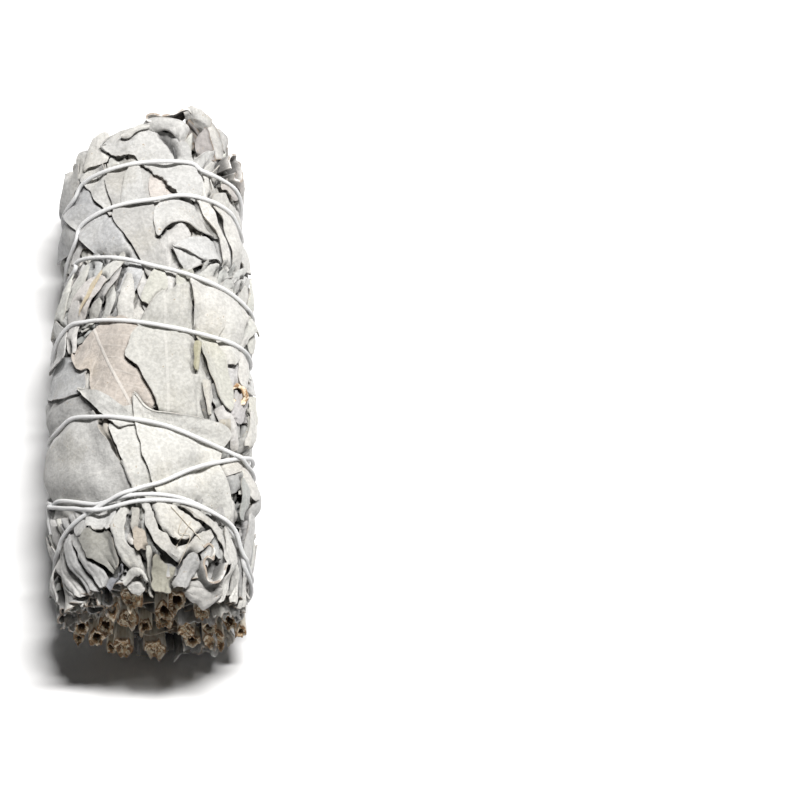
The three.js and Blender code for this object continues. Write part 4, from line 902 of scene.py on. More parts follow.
# %% Folds above the cut
crumple("butt_fold", (-84, 84, -42.5, -37), 40, 71, (PALE, COOL, COOL_PALE, GREY), heading=(-28, 12),
    width=(2.4, 4.0), run=(7, 11), arch=(0.7, 1.5), group="butt_folds", lift=0.5, size=0.55)
crumple("butt_fold_under", (84, 276, -43, -37), 48, 72, (PALE, COOL, COOL_PALE, GREY), heading=(-28, 28),
    width=(2.6, 4.6), run=(8, 13), arch=(0.7, 1.5), group="butt_folds_under", lift=0.5, size=0.6)
LIT_FOLD = (0.57, 0.56, 0.535)
FINGERS = [
    ("finger_left_1", (0.60, 0.592, 0.575), 1.3, [(-71, -37), (-74, -42), (-67, -45.4), (-58, -49)],
     [(-60, -37), (-55, -41.4), (-50.5, -44.4), (-43, -49.4)]),
    ("finger_left_2", GREY, 1.3, [(-57, -38), (-52, -42), (-46, -45.4), (-40, -49.6)],
     [(-48, -37.4), (-41.5, -42), (-37.5, -45.6), (-33, -49)]),
    ("finger_left_3", COOL, 1.1, [(-45, -39), (-40, -42.4), (-35, -46), (-31, -49)],
     [(-37, -38), (-31.5, -42.4), (-27.5, -45), (-24, -48.6)]),
    ("dark_point", (0.27, 0.275, 0.30), 0.6, [(-26, -48.2), (-20, -46.8), (-13.4, -45)],
     [(-24, -49.4), (-17, -48), (-13, -45.8)]),
    ("finger_outer", COOL_PALE, 0.8, [(-86, -38), (-85, -43), (-80, -48)],
     [(-76, -37), (-75, -42), (-70, -48)]),
    ("left_overlap", COOL, 0.5, [(-53, -33.6), (-46, -36.6), (-38, -39.6)],
     [(-34, -33.6), (-32, -36), (-31.6, -37.6)]),
    ("long_fold", (0.60, 0.59, 0.56), 1.2,
     [(-14.5, -34.6), (-18.6, -39.3), (-16.4, -42.6), (-12.4, -45.2), (-8, -47.4)],
     [(-8.4, -34.6), (-10, -39.6), (-8.6, -42.5), (-3.5, -43.9), (1, -47)]),
    ("small_curl", (0.46, 0.445, 0.41), 0.8, [(-8, -35), (-8, -38), (-7, -40.6)],
     [(-3.2, -35), (-3.4, -38.4), (-4.4, -40.6)]),
    ("tan_scrap", (0.50, 0.445, 0.38), 0.1, [(-6.4, -39.6), (-5.6, -41.4), (-4.6, -43.6)],
     [(0.6, -39.8), (2, -41.8), (0.4, -43.8)]),
    ("notch_leaf", (0.56, 0.545, 0.50), 0.7, [(0, -43), (1, -46), (1.2, -51)],
     [(3.2, -43.4), (3, -46.4), (3.8, -51)]),
    ("flat_scrap", (0.33, 0.325, 0.30), 0.1, [(-39, -40.2), (-32.5, -43), (-26, -45.3), (-20.3, -46.8)],
     [(-33, -37.8), (-24, -38.6), (-18.8, -40), (-15, -46.4)]),
    ("flat_scrap_upper", COOL_PALE, 0.3, [(-36, -34.4), (-34.6, -36.8), (-31.6, -38.2)],
     [(-17, -34.6), (-17.4, -36.4), (-19.6, -39)]),
    ("roll_face", PALE, 0.7, [(-13, -48), (-6.5, -47.6), (-0.6, -48)],
     [(-12, -50), (-6.5, -50.6), (-1, -50.2)]),
    ("bright_roll", PALE, 1.0, [(-15, -48), (-9, -46.5), (-2.6, -46.6), (2.2, -48.6)],
     [(-13, -49.2), (-8.4, -48), (-3, -48.1), (0.2, -49.8)]),
    ("cupped_leaf", (0.63, 0.62, 0.59), 1.2, [(4, -34.6), (6.4, -38.2), (12, -41)],
     [(27, -34.6), (30.5, -38.4), (27, -41.4)]),
    ("green_flap", (0.37, 0.358, 0.30), 0.15, [(3.8, -44.4), (3.6, -47.4), (4.4, -50.4)],
     [(18.6, -44.2), (17.6, -47.4), (16, -51)]),
    ("crescent", LIT_FOLD, 1.7, [(-2.6, -33.6), (-0.4, -36.5), (1.4, -39.6), (4.2, -42.2), (8.6, -43.8),
      (14, -44.7), (20, -44.8), (26, -44), (33, -42.6), (38.4, -40.6)],
     [(2.6, -33.6), (4, -36), (5.8, -38.6), (8.4, -40.4), (11.6, -41.4), (15.4, -41.9), (20, -42),
      (25, -41.4), (30, -40), (34, -38.4)]),
    ("curved_strip", LIT_FOLD, 1.0,
     [(18.8, -34.6), (28, -36.6), (37, -38.6), (43.6, -41.4), (45.6, -44.6)],
     [(24, -34), (34, -35.3), (43, -37.6), (50.4, -41), (52, -44)]),
    ("finger_right_1", PALE, 1.0, [(47, -37), (47.4, -42.5), (50, -45.6), (47.4, -51)],
     [(54, -36.6), (56, -41.7), (57, -46.4), (54, -50.8)]),
    ("rim_roll_right", (0.48, 0.47, 0.45), 1.4, [(25, -49), (30.5, -47.9), (38, -47.5), (47, -47.8)],
     [(26, -50.8), (33, -52), (41, -52.8), (49.6, -50.6)]),
    ("roll_with_hole", (0.50, 0.498, 0.49), 1.7, [(16.6, -49.4), (19.4, -46.4), (24.4, -43.6)],
     [(26.6, -50), (29.6, -47.4), (32, -44.8)]),
    ("finger_right_2", PALE, 1.0, [(57, -37), (60, -42.6), (62, -46.4), (58, -50.6)],
     [(64, -36.6), (68, -42), (70, -46), (66, -50.2)]),
    ("finger_right_3", COOL_PALE, 1.1, [(67, -33), (72, -41), (76, -46), (73, -50)],
     [(78, -32), (82, -41), (85, -46), (83, -49.6)]),
]
BUTT_NODES = {"finger_left_1": "butt_left", "finger_right_3": "butt_right", "crescent": "crescent"}
for name, tint, arch, left, right in FINGERS:
    lay(name, left, right, tint=tint, arch=arch, size=0.36, lift=(1.2, 0.9, 0.1, 0.8), base=(0.12, 0.7),
        tip=(0.12, 0.7), node=BUTT_NODES.get(name), group="butt_fingers", veins=0.1, torn=0.2, ripple=0.24,
        folds=((0.33, 0.35, 0.34), (0.72, 0.28, 0.3)))
print("leaves laid:", len(leaves))

# %% [markdown]
# ## Pressing the heap together
#
# A curled edge can't stand up where another leaf lies over it, so the leaves are gone through from
# the last to the first, and each one is kept under what lies on it. Beside a leaf's free edge there
# is a gap: whatever lies lower bends down into it, and its shadow draws the dark lines, deepened by
# shade painted into the felt at the bottom of the gap. Then the whole heap is levelled to the round
# of the stick, bent in at both ends, and drawn in by the string.

# %% Press the leaves down on each other


def dig(grid, angle, y, depth, half):
    """Deepens a grid along a line to depth x exp(-(distance / half-width) squared)."""
    for row, col, away in cells_around(angle, y, 2 * half):
        np.maximum.at(grid, (row, col), depth * math.exp(-((away / half) ** 2)))


def highest():
    """Grid of the highest leaf at each cell."""
    top = np.full((GRID_ROWS, GRID_COLS), CORE_OUT)
    for leaf in leaves:
        np.maximum.at(top, covered(leaf), finer(leaf["out"], FINE))
    return top


CLEAR = 0.05            # between a leaf and the one that keeps it down
roof = np.full((GRID_ROWS, GRID_COLS), 9.0)
gaps = np.zeros((GRID_ROWS, GRID_COLS))
for leaf in reversed(leaves):
    leaf["dent"] = read(gaps, leaf["angle"], leaf["y"])
    leaf["out"] = np.minimum(leaf["out"], roof[cells(leaf["angle"], leaf["y"])] - CLEAR) - leaf["dent"]
    for gap in leaf["free"]:
        dig(gaps, *gap)
    np.minimum.at(roof, covered(leaf), finer(leaf["out"] - leaf["thick"], FINE))


print("deepest gap:", round(float(gaps.max()), 2), "mm")

# %% Level and bind
LEVEL = -0.15           # mean height of the levelled heap over the skin
LEVEL_REACH = 5.0
EVEN_FROM, EVEN_TO = -46.5, 43.0    # past these the heap thins out, so its height there isn't counted
top = highest()
first_row, last_row = cells(0, np.array([EVEN_FROM, EVEN_TO]))[0]
top[:first_row] = top[first_row]
top[last_row:] = top[last_row]
level = LEVEL - spread(top, *cells_in(LEVEL_REACH))

CEILING, CEILING_AT_TIP = 1.0, 2.6      # how far a leaf may stand out, and that past the last turn
CEILING_SOFTNESS = 0.4
LOOSE_FROM, LOOSE_OVER = 38.0, 6.0
SIDE_REACH = 32.0       # degrees
SIDES = [               # angle, y, how far along y, and how much the heap stands out there
    (-82, 18.5, 6.5, -1.9), (-82, 43.0, 5.0, -1.1), (-82, -39.0, 6.5, -1.5), (82, 8.0, 8.0, 0.9),
    (82, -39.0, 5.0, -1.3), (82, 43.0, 5.0, -1.0),
]
BENT_IN = [             # depth, the y where it starts, over how many mm, and how often that at most
    (1.3, -45.0, -5.0, 1.4), (0.9, 44.0, 5.0, 1.5),
]


def stands_out(angle, y):
    """Sum of smooth bumps and hollows, so that the sides run as they do on the real stick."""
    return sum(much * np.exp(-(((signed(angle) - a) / SIDE_REACH) ** 2) - ((y - b) / reach) ** 2)
               for a, b, reach, much in SIDES)


def bound(out, angle, y):
    """Height of a leaf in the finished stick: levelled, kept under a soft ceiling, bent in at both ends
    by a square of the way past their start, and drawn in by the string where it lies high."""
    out = out + read(level, angle, y)
    ceiling = CEILING + (CEILING_AT_TIP - CEILING) * np.clip((y - LOOSE_FROM) / LOOSE_OVER, 0, 1)
    out = ceiling - CEILING_SOFTNESS * np.logaddexp(0.0, (ceiling - out) / CEILING_SOFTNESS)
    out = out + stands_out(angle, y)
    for depth, start, over, most in BENT_IN:
        out = out - depth * np.clip((y - start) / over, 0, most) ** 2
    return out - read(bite, angle, y) * np.clip(1 + (out + 0.5) / 5, 0.2, 1)


for leaf in leaves:
    leaf["out"] = bound(leaf["out"], leaf["angle"], leaf["y"])
surface = highest()
GAP_PAINTED_SHADE = 0.80         # painted shade: how much darker the felt is painted at the bottom of a gap
COVERED_PAINTED_SHADE = 0.45     # and, also as painted shade, where another leaf lies over it
# Painted shade: each leaf's tint is darkened where it lies deep in a gap and where other leaves cover it
for leaf in leaves:
    under = read(surface, leaf["angle"], leaf["y"]) - leaf["out"]
    leaf["shade"] = (1 - GAP_PAINTED_SHADE * np.clip(leaf["dent"] - 0.12, 0, 1)) * (
        1 - COVERED_PAINTED_SHADE * np.clip((under - 0.9) / 1.5, 0, 1))
print("heap was", round(float(top.mean()), 2), "mm over the skin before it was levelled")

# %% [markdown]
# ## The finish of a leaf
#
# A dried white sage leaf is grey-green under a pale felt of short hairs. So it is matt, a little
# velvety at grazing angles, mottled, dotted with brown specks and brown where it is torn. The colour
# of each leaf rides on its mesh as a value for each vertex, so that one finish serves them all.

# %% Node helpers


class Finish:
    """A material with a short way to add its nodes. An input is a plain value or another node's output,
    and its name is written with _ for a space, or it is a number."""

    def __init__(self, name):
        self.material = bpy.data.materials.new(name)
        self.material.use_nodes = True
        self.tree = self.material.node_tree
        self.shader = self.tree.nodes["Principled BSDF"]

    def add(self, kind, settings=None, **sockets):
        """A node with its settings and its inputs."""
        node = self.tree.nodes.new(kind)
        for key, value in (settings or {}).items():
            setattr(node, key, value)
        for key, value in sockets.items():
            self.put(node, key.replace("_", " "), value)
        return node

    def shade(self, colour, **sockets):
        """Gives the shader its colour and the values of its other inputs."""
        for key, value in dict(Base_Color=colour, **sockets).items():
            self.put(self.shader, key.replace("_", " "), value)
        return self.material

    def put(self, node, socket, value):
        """Sets an input to a value, or links it to an output."""
        target = node.inputs[int(socket)] if socket.isdigit() else node.inputs[socket]
        if isinstance(value, bpy.types.NodeSocket):
            self.tree.links.new(value, target)
        else:
            target.default_value = value

    def math(self, operation, a, b=0.0):
        """One operation on two numbers."""
        node = self.add("ShaderNodeMath", {"operation": operation})
        self.put(node, "0", a)
        self.put(node, "1", b)
        return node.outputs[0]

    def ramp(self, value, low, high, out_low=0.0, out_high=1.0):
        """Rises smoothly from out_low to out_high while the value goes from low to high."""
        return self.add("ShaderNodeMapRange", {"interpolation_type": "SMOOTHSTEP"}, Value=value,
                        From_Min=low, From_Max=high, To_Min=out_low, To_Max=out_high).outputs[0]

    def mix(self, share, a, b, blend="MIX"):
        """Blend of two colours."""
        node = self.add("ShaderNodeMix", {"data_type": "RGBA", "blend_type": blend})
        for socket, value in (("0", share), ("6", a), ("7", b)):
            self.put(node, socket, value)
        return node.outputs[2]

    def noise(self, vector, scale, detail=3.0, rough=0.55):
        """Smooth noise; scale is how often it varies."""
        node = self.add("ShaderNodeTexNoise", Vector=vector, Scale=scale, Detail=detail, Roughness=rough)
        return node.outputs["Fac"]

    def times(self, a, b):
        """Product of two numbers."""
        return self.math("MULTIPLY", a, b)

    def attribute(self, name, output="Color"):
        """A value that the mesh carries for each vertex."""
        return self.add("ShaderNodeAttribute", {"attribute_name": name}).outputs[output]

    def here(self):
        """Place on the object, in metres."""
        return self.add("ShaderNodeTexCoord").outputs["Object"]

    def along(self):
        """Place on the object's map."""
        return self.add("ShaderNodeUVMap", {"uv_map": "along"}).outputs[0]

    def bump(self, height, distance, strength=1.0, normal=None):
        """Normal tilted by a height's slope."""
        node = self.add("ShaderNodeBump", Strength=strength, Distance=distance, Height=height)
        if normal is not None:
            self.put(node, "Normal", normal)
        return node.outputs[0]

# %% The leaf finish
def leaf_finish(name, sheen):
    """Felt, mottling, veins, specks and torn edges over the tint that each leaf carries."""
    f = Finish(name)
    here = f.here()
    along = f.along()
    split = f.add("ShaderNodeSeparateXYZ", Vector=along)
    tint = f.attribute("tint")
    vein_share = f.attribute("tint", "Alpha")
    edge = f.attribute("edge", "Fac")

    mottle = f.noise(here, 330.0, 4.0, 0.6)
    cloud = f.noise(here, 85.0, 2.0)
    colour = f.mix(f.ramp(mottle, 0.3, 0.7), tint, (0.90, 0.90, 0.90, 1), "MULTIPLY")
    grain = f.noise(here, 1500.0, 3.0, 0.6)
    colour = f.mix(1.0, colour, f.ramp(grain, 0.34, 0.66, 0.86, 1.08), "MULTIPLY")
    net = f.add("ShaderNodeTexVoronoi", {"feature": "DISTANCE_TO_EDGE"}, Vector=along, Scale=46.0)
    net = f.times(f.ramp(net.outputs[0], 0.02, 0.10, 1.0, 0.0), f.ramp(cloud, 0.35, 0.6, 0.0, 0.35))
    colour = f.mix(net, colour, (0.84, 0.82, 0.77, 1), "MULTIPLY")
    colour = f.mix(f.ramp(cloud, 0.52, 0.72, 0.0, 0.5), colour, (0.985, 0.96, 0.90, 1), "MULTIPLY")

    across = f.math("ABSOLUTE", f.math("SUBTRACT", split.outputs[0], 0.5))
    wander = f.times(f.noise(along, 7.0, 2.0), 0.05)
    slant = f.math("SUBTRACT", f.math("ADD", split.outputs[1], wander), f.times(across, 0.9))
    beat = f.math("FRACT", f.times(slant, 15.0))
    side_vein = f.ramp(f.math("ABSOLUTE", f.math("SUBTRACT", beat, 0.5)), 0.0, 0.10, 1.0, 0.0)
    midrib = f.ramp(across, 0.003, 0.008, 1.0, 0.0)
    vein = f.times(f.math("MAXIMUM", f.times(side_vein, 0.35), midrib), vein_share)
    colour = f.mix(f.times(vein, 0.32), colour, (0.80, 0.78, 0.74, 1))

    speck = f.noise(here, 1500.0, 2.0, 0.5)
    place = f.noise(here, 210.0, 2.0, 0.5)
    specks = f.times(f.ramp(speck, 0.66, 0.72), f.ramp(place, 0.50, 0.62))
    colour = f.mix(f.times(specks, 0.7), colour, (0.30, 0.22, 0.13, 1))
    torn = f.times(f.ramp(edge, 0.02, 0.36, 1.0, 0.0), f.ramp(f.noise(here, 420.0), 0.42, 0.56))
    colour = f.mix(f.times(torn, 0.85), colour, (0.27, 0.19, 0.12, 1))

    felt = f.bump(f.noise(here, 7000.0, 2.0, 0.7), 0.00006, 0.5)
    crease = f.bump(f.noise(here, 620.0, 6.0, 0.68), 0.00050, 0.75, felt)
    return f.shade(colour, Normal=f.bump(vein, 0.00010, 0.7, crease), Roughness=0.86,
                   Specular_IOR_Level=0.25, Sheen_Weight=sheen, Sheen_Roughness=0.5)


outer_finish = leaf_finish("sage_leaf_outer", 0.25)
inner_finish = leaf_finish("sage_leaf_inner", 0.12)
print("nodes in the leaf finish:", len(outer_finish.node_tree.nodes))

# %% [markdown]
# ## From the heap to meshes
#
# Each laid leaf becomes a closed blade, thinner towards its edges. The leaves that stand for a solid
# of the frame are objects of their own, and the others are gathered into one object for each group.

# %% Make the leaf objects
UV_MM = 50              # one unit of the leaves' maps; 0.5 across is the midrib


def leaf_part(points, thick, x_mm, y_mm, edge, tint, shade, outward=0.0, veins=0.0):
    """Points, faces and values of one blade. shade is a factor on its tint, one for each point, which
    carries painted shade and painted highlights.
    """
    mesh_points, quads, flipped = blade(points, thick, outward)

    def both(values):
        """The values for the outer and then for the inner face."""
        values = np.broadcast_to(values, points.shape[:2])
        values = values[:, ::-1] if flipped else values
        return np.concatenate([values.ravel(), values.ravel()])

    colour = np.empty((len(mesh_points), 4))
    colour[:, :3] = np.asarray(tint) * both(shade)[:, None]
    colour[:, 3] = veins
    uv = np.stack([both(x_mm) / UV_MM + 0.5, both(y_mm) / UV_MM], -1)
    return [mesh_points, quads, uv, colour, both(edge)]


def shortened(angle, y):
    """The leaves end up to 3.4 mm sooner on the left of the tip, and nowhere else."""
    return y - 3.4 * np.exp(-(((signed(angle) + 78) / 24) ** 2)) * np.clip((y - 32) / 10, 0, 1)


def part_of(leaf):
    """The blade of a laid leaf."""
    thick = leaf["thick"] * (0.5 + 0.5 * np.clip(leaf["edge"], 0, 1))
    points = skin(leaf["angle"], shortened(leaf["angle"], leaf["y"]), leaf["out"])
    edge = leaf["edge"] + 0.4 * (1 - leaf["browned"])
    return leaf_part(points, thick, leaf["x_mm"], leaf["y_mm"], edge, leaf["tint"], leaf["shade"],
                     outwards(leaf["angle"]), leaf["veins"])


groups = {}
for leaf in leaves:
    if leaf["node"]:
        obj = finish_leaves("leaf_" + leaf["name"], [part_of(leaf)], outer_finish)
        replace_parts(obj, "wrap_leaf_" + leaf["node"])
    else:
        groups.setdefault(leaf["group"], []).append(part_of(leaf))
for name, parts in groups.items():
    if name.startswith("narrow_leaves"):
        finish_leaves(name, parts, inner_finish)
    else:
        finish_leaves(name, parts, outer_finish)
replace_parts(pieces["broad_leaves_left"], "wrap_leaf_under_left_low", "wrap_leaf_under_left_top")
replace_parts(pieces["broad_leaves_right"], "wrap_leaf_under_right_low", "wrap_leaf_under_right_top")
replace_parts(pieces["broad_leaves_under"], "wrap_leaf_resting_low", "wrap_leaf_resting_top")
print("leaf objects:", len(pieces))

# %% [markdown]
# ## Curled leaves at the tip
#
# Two leaves at the tip, and a small one over the cut, are curled so far that they stand on edge. Each
# is a ribbon: a path on the skin, carried straight down into the stick.

# %% Curled ribbons
CURLS = {       # solid that it replaces: height of its top edge, depth, and its path in angle and y
    "curled_tip_leaf_01": (1.1, 5.0, [(16, 46.4), (8, 46.6), (1, 46.8), (0, 48.0), (5, 48.6), (10, 48.3),
                                      (15, 48.8), (20, 49.8), (25, 50.2), (28, 49.6)]),
    "curled_tip_leaf_02": (1.5, 4.6, [(54, 39.4), (54.5, 42.2), (58, 43.3), (63, 43.2), (68, 41.8),
                                      (70, 39.8), (67.5, 38.2), (62, 37.8), (57.5, 38.6)]),
}
ROSETTE = (0.9, 3.5, [(31, -42.6), (35, -41.6), (38.5, -43), (37, -45), (33.5, -44.6), (33, -47),
                      (37, -48.8), (43, -47.6), (46, -44.6)])


def painted_rim_light_and_shade(depth, reach):
    """Painted shade and a painted highlight: the tint falls from 1 to 0.24 deep in a curl, as if in the
    dark there, and its torn rim is painted palest, as if lit."""
    return 0.24 + 0.76 * np.exp(-((depth / reach) ** 2)) + 0.35 * np.exp(-((depth / 0.35) ** 2))


def towards_end(count):
    """Shares from 0 to 1 that lie closer together towards 1, as a column."""
    return 1 - (1 - np.linspace(0, 1, count)[:, None]) ** 1.8


def curl_part(top, depth, path, seed, tint):
    """Ribbon: rows go down into the stick from the path on the skin, with an uneven top edge."""
    steps = 46
    line = smooth_path(path, steps)
    middle = line.mean(axis=0)
    s = 1 - towards_end(9)[::-1]
    t = np.linspace(0, 30, steps)[None, :]
    place = middle + (line - middle) * (1 - 0.12 * s)[..., None]
    points = skin(place[..., 0], place[..., 1], top + 0.2 * ripples(seed, t, 5.0) - depth * s)
    down = s * depth
    # Painted shade and highlight: the ribbon darkens deeper down, and its top edge is painted palest
    return leaf_part(points, 0.4, down, t, down + 0.1, tint, painted_rim_light_and_shade(down, 1.0))


for k, (node, curl) in enumerate(CURLS.items()):
    part = curl_part(*curl, 300 + k, (0.60, 0.585, 0.57))
    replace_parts(finish_leaves(f"tip_curl_{k + 1}", [part], outer_finish), node)
finish_leaves("butt_rosette", [curl_part(*ROSETTE, 310, PALE)], outer_finish)
print("curled leaves:", len(CURLS) + 1)

# %% [markdown]
# ## Loose leaves at the tip
#
# The last leaves aren't held by the string. They arch over, fold and stand on end, so each is set in
# free space: a leaf runs between two to four lines, and bulges between them.

# %% Leaves in free space
LOOSE_SIZE = 0.34
FLAP = (0.62, 0.612, 0.595)
FOLD = (0.42, 0.395, 0.38)
TIP_LEAVES = {      # tint, shade painted along the long edges, bulge, and lines from edge to edge in x, y, z
    # A dark sheet behind the band and the folds: its near-black tint is painted shade deep in the tip
    "painted_shade_backing": ((0.22, 0.21, 0.20), 0.0, 0.3, [
        [(-2.0, 47.8, 27.5), (4, 48.4, 29.0), (8.0, 48.6, 28.4), (12.0, 48.2, 26.4), (15.4, 46.4, 22.8)],
        [(-2.0, 44.0, 26.2), (4, 43.2, 27.4), (8.0, 41.8, 26.6), (12.0, 40.4, 24.8), (15.4, 39.4, 21.2)]]),
    "band": (FLAP, 0.0, 0.8, [
        [(-1.4, 46.4, 30.4), (-0.4, 48.0, 31.6), (1.1, 48.3, 32.4), (4.3, 47.9, 33.0), (7.0, 47.2, 32.6),
         (8.2, 46.2, 31.8), (8.0, 44.9, 31.0), (7.6, 43.6, 30.2), (8.2, 41.8, 29.2)],
        [(-1.1, 46.7, 31.2), (-0.1, 47.4, 32.4), (1.1, 47.4, 33.2), (4.3, 46.7, 33.8), (6.6, 46.2, 33.4),
         (7.3, 45.5, 32.6), (7.1, 44.4, 31.8), (7.2, 43.2, 30.8), (7.9, 41.9, 29.7)],
        [(-1.1, 46.5, 31.0), (0.2, 45.9, 31.8), (1.6, 45.2, 32.3), (3.8, 45.2, 32.8), (5.0, 44.7, 32.5),
         (5.7, 44.1, 31.9), (6.2, 43.2, 31.1), (6.7, 42.4, 30.3), (7.3, 41.8, 29.6)],
        [(-0.9, 46.6, 30.4), (0.4, 46.2, 31.0), (1.8, 45.8, 31.4), (3.8, 45.7, 31.8), (5.0, 45.2, 31.4),
         (5.8, 44.6, 30.8), (6.3, 43.8, 30.1), (6.8, 43.0, 29.5), (7.4, 42.2, 29.0)]]),
    "rear": (FLAP, 0.0, 0.7, [
        [(6.9, 50.0, 32.0), (8.7, 50.6, 32.2), (10.4, 50.4, 31.4), (11.6, 49.9, 30.2), (12.6, 49.5, 28.6)],
        [(7.4, 49.2, 31.0), (8.8, 49.2, 31.2), (10.2, 48.9, 30.6), (11.3, 48.6, 29.6), (12.4, 48.4, 28.0)],
        [(7.4, 48.4, 28.0), (8.8, 47.4, 28.0), (9.9, 46.8, 27.5), (10.9, 46.9, 26.5), (12.0, 47.4, 25.5)]]),
    "fold_upper": (FOLD, 0.75, 0.5, [
        [(8.2, 48.7, 30.6), (9.4, 47.2, 30.2), (10.7, 45.5, 29.2)],
        [(7.7, 47.8, 30.4), (8.9, 46.4, 30.0), (10.1, 44.9, 29.0)]]),
    "fold_middle": (FOLD, 0.75, 0.5, [
        [(7.7, 47.5, 30.6), (8.8, 45.9, 30.2), (9.9, 44.7, 29.2)],
        [(7.0, 46.6, 30.5), (7.9, 45.1, 30.0), (8.9, 44.0, 29.0)]]),
    "fold_lower": ((0.46, 0.435, 0.42), 0.75, 0.4, [
        [(7.1, 46.3, 30.5), (8.2, 44.6, 30.0), (9.3, 43.4, 29.1)],
        [(6.6, 45.5, 30.3), (7.3, 44.0, 29.8), (8.3, 42.4, 28.9)]]),
    "corner_fold": ((0.42, 0.395, 0.385), 0.5, 0.5, [
        [(11.2, 46.6, 29.0), (10.0, 45.2, 29.0), (9.6, 43.7, 28.6), (9.8, 42.3, 28.0), (10.3, 40.9, 27.4)],
        [(11.4, 46.8, 30.2), (10.1, 45.4, 30.2), (9.5, 43.9, 29.8), (9.6, 42.4, 29.2), (10.1, 40.7, 28.3)],
        [(11.7, 47.0, 30.1), (12.1, 45.9, 29.8), (12.6, 44.1, 29.3), (12.9, 42.8, 28.5),
         (13.3, 41.0, 27.2)]]),
    "upright": ((0.60, 0.59, 0.575), 0.4, 0.6, [
        [(11.0, 49.2, 28.6), (11.5, 47.7, 28.6), (11.9, 46.1, 28.3), (12.4, 44.2, 27.6),
         (12.9, 41.8, 26.4)],
        [(12.1, 50.0, 28.0), (13.4, 48.6, 26.5), (14.1, 46.8, 26.0), (14.5, 45.1, 25.4),
         (14.8, 42.8, 24.4)]]),
    "notched": ((0.56, 0.55, 0.535), 0.4, 0.4, [
        [(13.0, 49.2, 26.0), (13.9, 47.6, 25.5), (14.3, 45.4, 24.3)],
        [(13.9, 49.3, 25.0), (15.4, 48.2, 23.5), (15.1, 45.0, 22.6)]]),
}
TOWARDS_EYE = np.array([0.0, -0.4, 0.92])
print("loose leaves at the tip:", ", ".join(TIP_LEAVES))

# %% Leaves between their lines
def loose_leaf(lines, bulge, painted_edge_shade, seed, tint):
    """Surface between lines that are each a smooth path, raised in its middle by a half sine wave, with
    shade painted darker along its two long edges, by the share that the edge shade gives."""
    cols = max(12, int(path_length(lines[0]) / LOOSE_SIZE))
    drawn = np.stack([smooth_path(line, cols, 1.0) for line in lines])
    across = path_length(drawn)
    rows = max(7, int(across.max() / LOOSE_SIZE))
    points = smooth_path(drawn.reshape(len(lines), -1), rows, 1.0).reshape(rows, cols, 3)
    s = np.linspace(0, 1, rows)[:, None]
    t = np.linspace(0, 1, cols)[None, :]
    length = path_length(drawn[0])
    x_mm = s * across
    y_mm = t * length
    uneven = bulge * np.sin(math.pi * s) * (0.4 + 0.6 * np.sin(math.pi * t))
    uneven = uneven + 0.16 * waves(seed + 1, x_mm, y_mm, 3.0)
    points = points + TOWARDS_EYE * uneven[..., None]
    jag = 0.22 * ripples(seed, y_mm, 2.6) * np.cos(math.pi * s)
    points = points + np.gradient(points, axis=0) * jag[..., None]
    beside = np.minimum(x_mm, across - x_mm)
    edge = np.minimum(beside, np.minimum(y_mm, length - y_mm))
    # Painted shade: darker along both long edges, where the folds meet
    shade = 1 - painted_edge_shade * np.exp(-((beside / 0.5) ** 2))
    return leaf_part(points, 0.38, x_mm, y_mm, edge + 0.08, tint, shade, TOWARDS_EYE, 0.2)


parts = [loose_leaf(lines, bulge, painted_edge_shade, 900 + 7 * k, tint)
         for k, (tint, painted_edge_shade, bulge, lines) in enumerate(TIP_LEAVES.values())]
loose = finish_leaves("loose_tip_leaves", parts, outer_finish)
print("points in the loose leaves:", len(loose.data.vertices))

# %% [markdown]
# ## Stems
#
# The sprigs' stalks end at the cut. Each is a woody tube: pale bark with fine ridges, a brown rim
# where the knife went through, and a dark hole where the pith has dried. The surface is one profile
# carried round the stem's axis, uneven so that no two are alike.

# %% Stems and their cut ends
STEMS = [       # x, y and z of the cut end, radius, and whether the pith still fills it
    (-3, -49.6, 27, 1.9, 1), (-7.2, -49.8, 22.6, 1.3, 0), (-1.6, -49.8, 13, 1.35, 0),
    (-4.6, -49.6, 17, 2.0, 1), (2.6, -49.8, 20.6, 2.0, 0), (2.2, -49.6, 15.8, 1.55, 0),
    (5.2, -49.4, 25, 1.9, 0), (5.9, -50, 11, 1.75, 1), (7, -50.8, 7.2, 1.3, 0), (10.4, -50, 12.4, 1.4, 0),
    (14.4, -49.6, 14.4, 1.4, 0), (11.2, -51.2, 8.4, 1.8, 1), (-0.4, -51.2, 5, 2.2, 1),
    (-6.2, -51.2, 6, 2.0, 1), (-11, -50.4, 9.4, 1.6, 0), (-13.6, -49.6, 13, 1.4, 0),
    (-9, -49.8, 14.2, 1.75, 0), (9.4, -49.4, 18.6, 1.3, 1), (16.2, -50.2, 9.6, 1.2, 0),
    (-14.6, -50.0, 8.4, 1.15, 0), (-8.6, -50.8, 4.6, 1.1, 0),
]
CAD_STEMS = 18          # the first ones stand for the solids' stems
STEM_RUN = 40.0
STEM_SIDES = 24
STEM_LEAN = 0.007       # how far a stem leans in towards the middle, for each mm that it ends off it
SLOPE_OF_CUT = 0.62
MIDDLE_Z = 17.5
RIM = [         # share of the radius, mm behind the cut, kind: 0 bark, 0.5 rim, 0.65 wood, 1 dark pith
    (1.0, 7, 0), (1.0, 5, 0), (1.02, 3.4, 0), (1.02, 2.2, 0), (1.04, 1.2, 0), (1.05, 0.6, 0.08),
    (1.04, 0.18, 0.25), (0.97, 0.0, 0.45), (0.90, -0.04, 0.56), (0.80, 0.02, 0.62),
]
FILLED = [
    (0.68, 0.12, 0.64), (0.56, 0.3, 0.66), (0.44, 0.1, 0.66), (0.32, 0.34, 0.70), (0.20, 0.1, 0.66),
    (0.10, 0.3, 0.66),
]
HOLLOW = [
    (0.71, 0.04, 0.62), (0.62, 0.12, 0.66), (0.55, 0.4, 0.80), (0.50, 1.0, 0.92), (0.44, 2.4, 1.0),
    (0.25, 3.4, 1.0),
]
print("stems that end at the cut:", len(STEMS))

